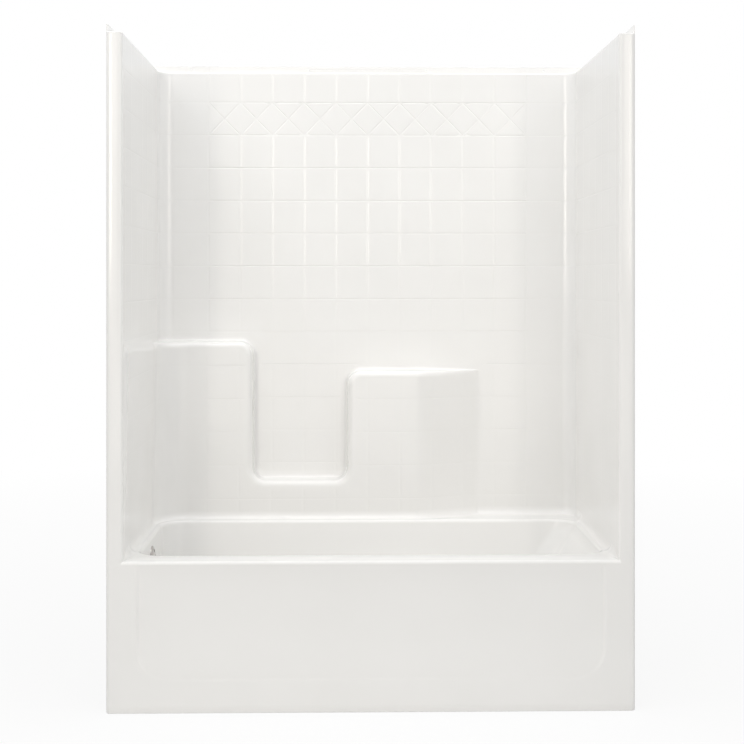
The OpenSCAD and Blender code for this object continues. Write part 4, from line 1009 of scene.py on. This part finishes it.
def plywood(name, axis, start, grain):
    """Plywood whose plies change along an axis from a start height, with long grain."""
    mat, tree, shader = nodes_of(name)
    parts = put(tree, "ShaderNodeSeparateXYZ", coordinates(tree))
    ply = span(tree, parts.outputs[axis], 0.0, PLY_PAIRS, start, start + PLY_T)
    dark = math_node(tree, "GREATER_THAN", math_node(tree, "FRACT", ply), 0.5)
    figure = noise(tree, 14.0, 5.0, grain, 0.6)
    light = blend_colours(tree, span(tree, figure, 0, 1), (0.60, 0.43, 0.25), (0.74, 0.58, 0.37))
    tree.links.new(mix_colours(tree, dark, light, (0.38, 0.25, 0.13, 1)),
                   shader.inputs["Base Color"])
    shader.inputs["Roughness"].default_value = 0.7
    bumps(tree, shader, figure, 0.3, 0.0006)
    return mat


def board(name, node, mat, outline, low, high, axis, soft=1.2):
    """A sawn board or timber in place of its CAD node."""
    obj = dress(plate(name, outline, low, high, axis, (), soft), mat)
    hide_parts(node)
    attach(obj, "unit")


for node in ("back_wall_board", "left_wall_board", "right_wall_board"):
    low, high = [np.array(c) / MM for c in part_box(node)]
    axis = 1 if node[0] == "b" else 0
    grain = (6, 6, 1) if axis else (6, 1, 6)
    mat = plywood("ply_" + node.split("_")[0], axis, low[axis] * MM, grain)
    u, v = [i for i in range(3) if i != axis]
    board(node + "_sawn", node, mat, oblong((low[u], high[u]), (low[v], high[v])),
          low[axis], high[axis], axis)

strands, tree, shader = nodes_of("strand_board")
flakes = put(tree, "ShaderNodeTexVoronoi",
             coordinates(tree, Scale=(12, 45, 45), Rotation=(0, 0, 0.5)),
             Scale=1.0, Randomness=1.0)
bright = put(tree, "ShaderNodeSeparateColor", flakes.outputs["Color"])
tone = blend_colours(tree, bright.outputs[0], (0.42, 0.29, 0.15), (0.76, 0.60, 0.38))
tree.links.new(tone, shader.inputs["Base Color"])
shader.inputs["Roughness"].default_value = 0.75
bumps(tree, shader, bright.outputs[0], 0.4, 0.0005)
# the floor board is cut out round the drain from its left edge
BITE_R = 44.0
low, high = [np.array(c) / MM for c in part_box("floor_board")]
bite, _ = arc_points((DRAIN_X, WASTE_Y), BITE_R, 90, -90, 19)
notched = oblong((low[0], high[0]), (low[1], high[1]))
notched += [(low[0], WASTE_Y + BITE_R)] + bite.tolist() + [(low[0], WASTE_Y - BITE_R)]
board("floor_board_sawn", "floor_board", strands, notched, low[2], high[2], 2)

# Timber: sawn softwood runners under the floor board, battens behind the apron and posts
# under the threshold's ends and the back deck, cut square with soft arrises.


def softwood(name, along):
    """Softwood with growth rings drawn out along the length of the piece."""
    mat, tree, shader = nodes_of(name)
    scale = [26.0, 26.0, 26.0]
    scale[along] = 1.2
    rings = noise(tree, 1.0, 3.0, scale, 0.6)
    late = math_node(tree, "SINE", math_node(tree, "MULTIPLY", rings, 34.0))
    band = span(tree, late, 0, 1, -1, 1)
    tone = blend_colours(tree, band, (0.78, 0.62, 0.40), (0.60, 0.41, 0.21))
    tree.links.new(tone, shader.inputs["Base Color"])
    shader.inputs["Roughness"].default_value = 0.68
    bumps(tree, shader, band, 0.25, 0.0005)
    return mat


lengthwise = softwood("softwood_long", 0)
standing = softwood("softwood_post", 2)
for node, axis in (("floor_runners", 0), ("apron_battens", 0), ("deck_posts", 2)):
    co = np.array([v.co for v in frame["nodes"][node].data.vertices]) / MM
    # each solid of the node is found by joining the triangles that share corners
    corners, where = np.unique(np.round(co, 1), axis=0, return_inverse=True)
    where = where.ravel()
    tag = np.arange(len(corners))
    tris = where[np.array([p.vertices[:] for p in frame["nodes"][node].data.polygons])]
    for _ in range(8):
        least = tag[tris].min(axis=1)
        for k in range(3):
            np.minimum.at(tag, tris[:, k], least)
    for i, t in enumerate(np.unique(tag)):
        own = corners[tag == t]
        low, high = own.min(axis=0), own.max(axis=0)
        u, v = [k for k in range(3) if k != axis]
        mat = lengthwise if axis == 0 else standing
        board("%s_%d" % (node, i), node, mat,
              oblong((low[u], high[u]), (low[v], high[v])), low[axis], high[axis], axis, 2.0)

# Joint hardware and seals: zinc-plated hexagon bolts, plain washers and nuts, and black
# closed-cell foam tape pressed between the flanges.


def metal(name, colour, rough, scratch):
    """A metal with fine uneven wear in its roughness."""
    mat, tree, shader = nodes_of(name)
    shader.inputs["Base Color"].default_value = (*colour, 1)
    shader.inputs["Metallic"].default_value = 1.0
    wear_and_painted_rim_shade = noise(tree, 140.0, 4.0)
    tree.links.new(span(tree, wear_and_painted_rim_shade, rough * 0.75, rough * 1.3), shader.inputs["Roughness"])
    bumps(tree, shader, wear_and_painted_rim_shade, scratch, 0.0002)
    return mat


def plain(name, first, second, rough, grain, strength):
    """A plastic or rubber with slight mottling and a fine surface grain."""
    mat, tree, shader = nodes_of(name)
    mottle = noise(tree, grain, 3.0)
    tree.links.new(blend_colours(tree, span(tree, mottle, 0, 1), first, second),
                   shader.inputs["Base Color"])
    shader.inputs["Roughness"].default_value = rough
    bumps(tree, shader, mottle, strength, 0.0004)
    return mat


looks = {
    "zinc_steel": metal("zinc", (0.60, 0.61, 0.63), 0.34, 0.15),
    "chrome": metal("chrome", (0.72, 0.725, 0.73), 0.07, 0.02),
    "brass": metal("brass", (0.62, 0.44, 0.19), 0.26, 0.1),
    "tape": plain("foam_rubber", (0.018, 0.018, 0.02), (0.035, 0.035, 0.037), 0.8, 420.0, 0.5),
    "pipe": plain("pipe_plastic", (0.74, 0.74, 0.71), (0.80, 0.80, 0.78), 0.35, 90.0, 0.08),
}
slots = {row["node"]: row["material_slot"] for row in frame["record"]["subparts"]}
for node, obj in frame["nodes"].items():
    if slots[node] in looks:
        obj.data.materials.clear()
        obj.data.materials.append(looks[slots[node]])
    elif not obj.hide_render:
        raise SystemExit("no material for " + node)

# Overflow plate: a disc pressed from thin sheet and plated, domed over the mouth of the
# elbow, with a rolled rim, two dimples for its screws and an upright slot for the lever.
# The plating's rim is painted darker as a painted reflection, and its screws near black as painted
# shade.

# radius of the cover and of its rolled edge, rise, depth of a dimple, a screw's place
COVER_R, COVER_ROLL, COVER_RISE, DIMPLE, SCREW_Z = 39.0, 1.8, 8.8, 2.4, 24.0
# the rim's height, the slot's half width, half height and corners, the screw holes
RIM_UP, SLOT_HALF, SLOT_TALL, SLOT_R, EYE_R = 1.4, 4.6, 14.0, 2.0, 3.0


def cover_height(r, from_screw):
    """Height of the plate over the wall: a flattened dome, then a quarter-round roll down
    to the rim, less a round dimple about each screw."""
    flat_r = COVER_R - COVER_ROLL
    dome = COVER_ROLL + RIM_UP + COVER_RISE * np.clip(1 - (r / flat_r) ** 2, 0, 1) ** 0.9
    rolled = RIM_UP + np.sqrt(COVER_ROLL ** 2 - np.clip(r - flat_r, 0, COVER_ROLL) ** 2)
    return np.where(r > flat_r, rolled, dome) - DIMPLE * (1 - ease((from_screw - 3.4) / 2.6))


turn = np.linspace(0, 2 * np.pi, 97)[:-1]
ray = np.stack([np.cos(turn), np.sin(turn)], axis=1)
quarter, _ = arc_points((SLOT_HALF - SLOT_R, SLOT_TALL - SLOT_R), SLOT_R, 0, 90, 5)
slot = np.concatenate([quarter, (quarter * [-1, 1])[::-1],
                       quarter * [-1, -1], (quarter * [1, -1])[::-1]])
screw_at = [np.array([0, s * SCREW_Z]) for s in (1, -1)]
eyes = [EYE_R * ray[::4] + c for c in screw_at]
loops = [slot] + eyes + [COVER_R * ray]
rings = [r * ray for r in (16, 19.5, 30.5, 32.5, 34.5, 36, 37.2, 37.7, 38.2, 38.6, 38.85)]
rings += [r * ray[::4] + c for r in (3.6, 4.3, 5.0, 5.7, 6.4) for c in screw_at]
loose = np.concatenate([r * ray[::3] for r in (6.5, 9, 11.5, 14, 23, 26.5, 28.5)])
by_screw = np.hypot(loose[:, 0], np.abs(loose[:, 1]) - SCREW_Z) < 7
by_slot = (np.abs(loose) < np.array([SLOT_HALF, SLOT_TALL]) + 0.6).all(axis=1)
loose = loose[~by_screw & ~by_slot]
flat, tris = triangulate(np.concatenate(loops + rings + [loose]), closed_edges(*loops))
tris = np.array(tris)
mid = flat[tris].mean(axis=1)
cut = inside(mid, slot)
cut |= np.hypot(mid[:, 0], np.abs(mid[:, 1]) - SCREW_Z) < 0.99 * EYE_R
high = cover_height(np.hypot(*flat.T), np.hypot(flat[:, 0], np.abs(flat[:, 1]) - SCREW_Z))
cover = Skin()
away = np.array([500.0, WASTE_Y, OVER_Z])
at = np.array([BASIN_X[0] + 0.1, WASTE_Y, OVER_Z])
cover.add(np.column_stack([high, flat]) + at, tris[~cut], away)
edge = [np.column_stack([np.full(len(ray), h), COVER_R * ray]) for h in (RIM_UP, 0.2)]
edge = np.array(edge) + at
out = edge.reshape(-1, 3)[sheet_faces(2, len(ray), closed=True)].mean(axis=1) - at
cover.sheet(edge, 9 * out + at, closed=True)
plated, tree, shader = nodes_of("plating_painted_rim_shade")
from_middle = coordinates(tree, Location=(at * -MM).tolist())
# painted reflection: the plating is coloured darker from 22 to 36 mm out towards the rim
wear_and_painted_rim_shade = blend_colours(tree, span(tree, distance(tree, from_middle), 0, 1, 0.022, 0.036),
                     (0.74, 0.72, 0.715), (0.46, 0.44, 0.43))
# the dimples are painted near black, a painted shade in their hollows: both are reached by folding
# the height about the middle
parts = put(tree, "ShaderNodeSeparateXYZ", from_middle)
offset = put(tree, "ShaderNodeCombineXYZ", Y=parts.outputs["Y"],
             Z=math_node(tree, "ABSOLUTE", parts.outputs["Z"]))
from_screw = distance(tree, offset.outputs["Vector"], (0, 0, SCREW_Z * MM))
painted_dimple_shade = mix_colours(tree, span(tree, from_screw, 0, 1, 0.0045, 0.0075),
                   (0.09, 0.085, 0.075, 1), wear_and_painted_rim_shade)
tree.links.new(painted_dimple_shade, shader.inputs["Base Color"])
shader.inputs["Metallic"].default_value = 1.0
rub = noise(tree, 260.0, 3.0)
tree.links.new(span(tree, rub, 0.10, 0.20), shader.inputs["Roughness"])
bumps(tree, shader, rub, 0.05, 0.0002)
cover_body = dress(laminate(cover.mesh("overflow_cover"), 1.2), plated, plated)
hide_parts("overflow_plate")
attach(cover_body, "unit")
# the screws are coloured near black: painted shade for the holes they sit in
screws = frame["nodes"]["plate_screws"].data.materials
screws.clear()
screws.append(metal("screw_painted_shade", (0.10, 0.095, 0.09), 0.35, 0.2))

# Floor and light: a pale floor, and a white backdrop that only direct views and mirrored
# rays meet. The lamps overhead are large and neutral, and those in front are warm: narrow
# strips give the glints in the upright grooves, and a crossed pair lights the end walls.
FLOOR_HALF = 30.0
corners = FLOOR_HALF * np.array([[-1, -1, 0], [1, -1, 0], [1, 1, 0], [-1, 1, 0]])
floor = mesh_object("floor", corners, [(0, 1, 2, 3)])
floor_mat, tree, shader = nodes_of("pale_floor")
shader.inputs["Base Color"].default_value = (0.85, 0.85, 0.85, 1)
shader.inputs["Roughness"].default_value = 0.9


def seen_directly(tree):
    """One for camera, glossy and transmission rays, and nothing for the others."""
    rays = put(tree, "ShaderNodeLightPath")
    total = rays.outputs["Is Camera Ray"]
    for kind in ("Is Glossy Ray", "Is Transmission Ray"):
        total = math_node(tree, "MAXIMUM", total, rays.outputs[kind])
    return total


# near the unit a tenth of the floor is its own lit colour, which keeps the shadow; it
# fades between 0.9 and 5 metres from the middle, so that no horizon shows
share = span(tree, distance(tree, coordinates(tree)), 0.9, 1.0, 0.9, 5.0)
share = math_node(tree, "MULTIPLY", seen_directly(tree), share)
glow = put(tree, "ShaderNodeEmission", Strength=1.0)
mixed = put(tree, "ShaderNodeMixShader", share, shader.outputs[0], glow.outputs[0])
tree.links.new(mixed.outputs[0], tree.nodes["Material Output"].inputs["Surface"])
floor.data.materials.append(floor_mat)

world = bpy.data.worlds.new("studio")
world.use_nodes = True
bpy.context.scene.world = world
tree = world.node_tree
fill = tree.nodes["Background"]
fill.inputs["Color"].default_value = (0.96, 0.98, 1.0, 1)
fill.inputs["Strength"].default_value = 0.39
white = put(tree, "ShaderNodeBackground", Strength=1.0)
white.inputs["Color"].default_value = (1, 1, 1, 1)
both = put(tree, "ShaderNodeMixShader", seen_directly(tree), fill.outputs[0], white.outputs[0])
tree.links.new(both.outputs[0], tree.nodes["World Output"].inputs["Surface"])


WARM = (1.0, 0.945, 0.86)


def area_light(name, place, aim, size, power, tint=(1.0, 1.0, 1.0)):
    """A rectangular area light at a place, aimed at a point."""
    data = bpy.data.lights.new(name, "AREA")
    data.shape = "RECTANGLE"
    data.size, data.size_y = size
    data.energy = power
    data.color = tint
    obj = linked(name, data)
    obj.location = place
    way = np.array(aim) - np.array(place)
    flat = math.hypot(way[0], way[1])
    obj.rotation_euler = (math.atan2(flat, -way[2]), 0, math.atan2(way[1], way[0]) - math.pi / 2)


area_light("ceiling", (0.0, -0.8, 6.0), (0.0, -0.1, 0.4), (4.0, 3.0), 106.0)
area_light("over_walls", (0.0, -0.35, 3.2), (0.0, -0.1, 0.4), (1.8, 0.9), 4.0)
area_light("soft_left", (-2.0, -4.2, 1.9), (0.0, 0.2, 1.1), (1.3, 1.8), 14.0, WARM)
area_light("soft_right", (2.0, -4.2, 1.9), (0.0, 0.2, 1.1), (1.3, 1.8), 4.0, WARM)
area_light("strip_left", (-1.7, -4.2, 2.05), (0.0, 0.2, 1.5), (0.2, 1.5), 14.0, WARM)
area_light("strip_right", (1.7, -4.2, 2.05), (0.0, 0.2, 1.5), (0.2, 1.5), 11.0, WARM)
area_light("cross_left", (-1.6, -1.2, 3.2), (0.5, 0.1, 0.7), (1.0, 0.8), 8.5)
area_light("cross_right", (1.6, -1.2, 3.2), (-0.5, 0.1, 0.7), (1.0, 0.8), 4.5)
area_light("low_front", (0.0, -5.0, 0.5), (0.0, 0.0, 0.6), (4.0, 0.8), 13.0, WARM)

# Camera: eye height, a little left of the middle, fitted to the tile grooves and edges.
lens = bpy.data.cameras.new("camera")
lens.sensor_width = 36.0
lens.lens = 66.58
lens.shift_x, lens.shift_y = -0.0021, -0.1247
eye = linked("camera", lens)
eye.location = (-0.06892, -4.3618, 1.2463)
eye.rotation_euler = (math.pi / 2, 0, math.radians(-1.08))
bpy.context.scene.camera = eye
bpy.context.scene.view_settings.view_transform = "Standard"
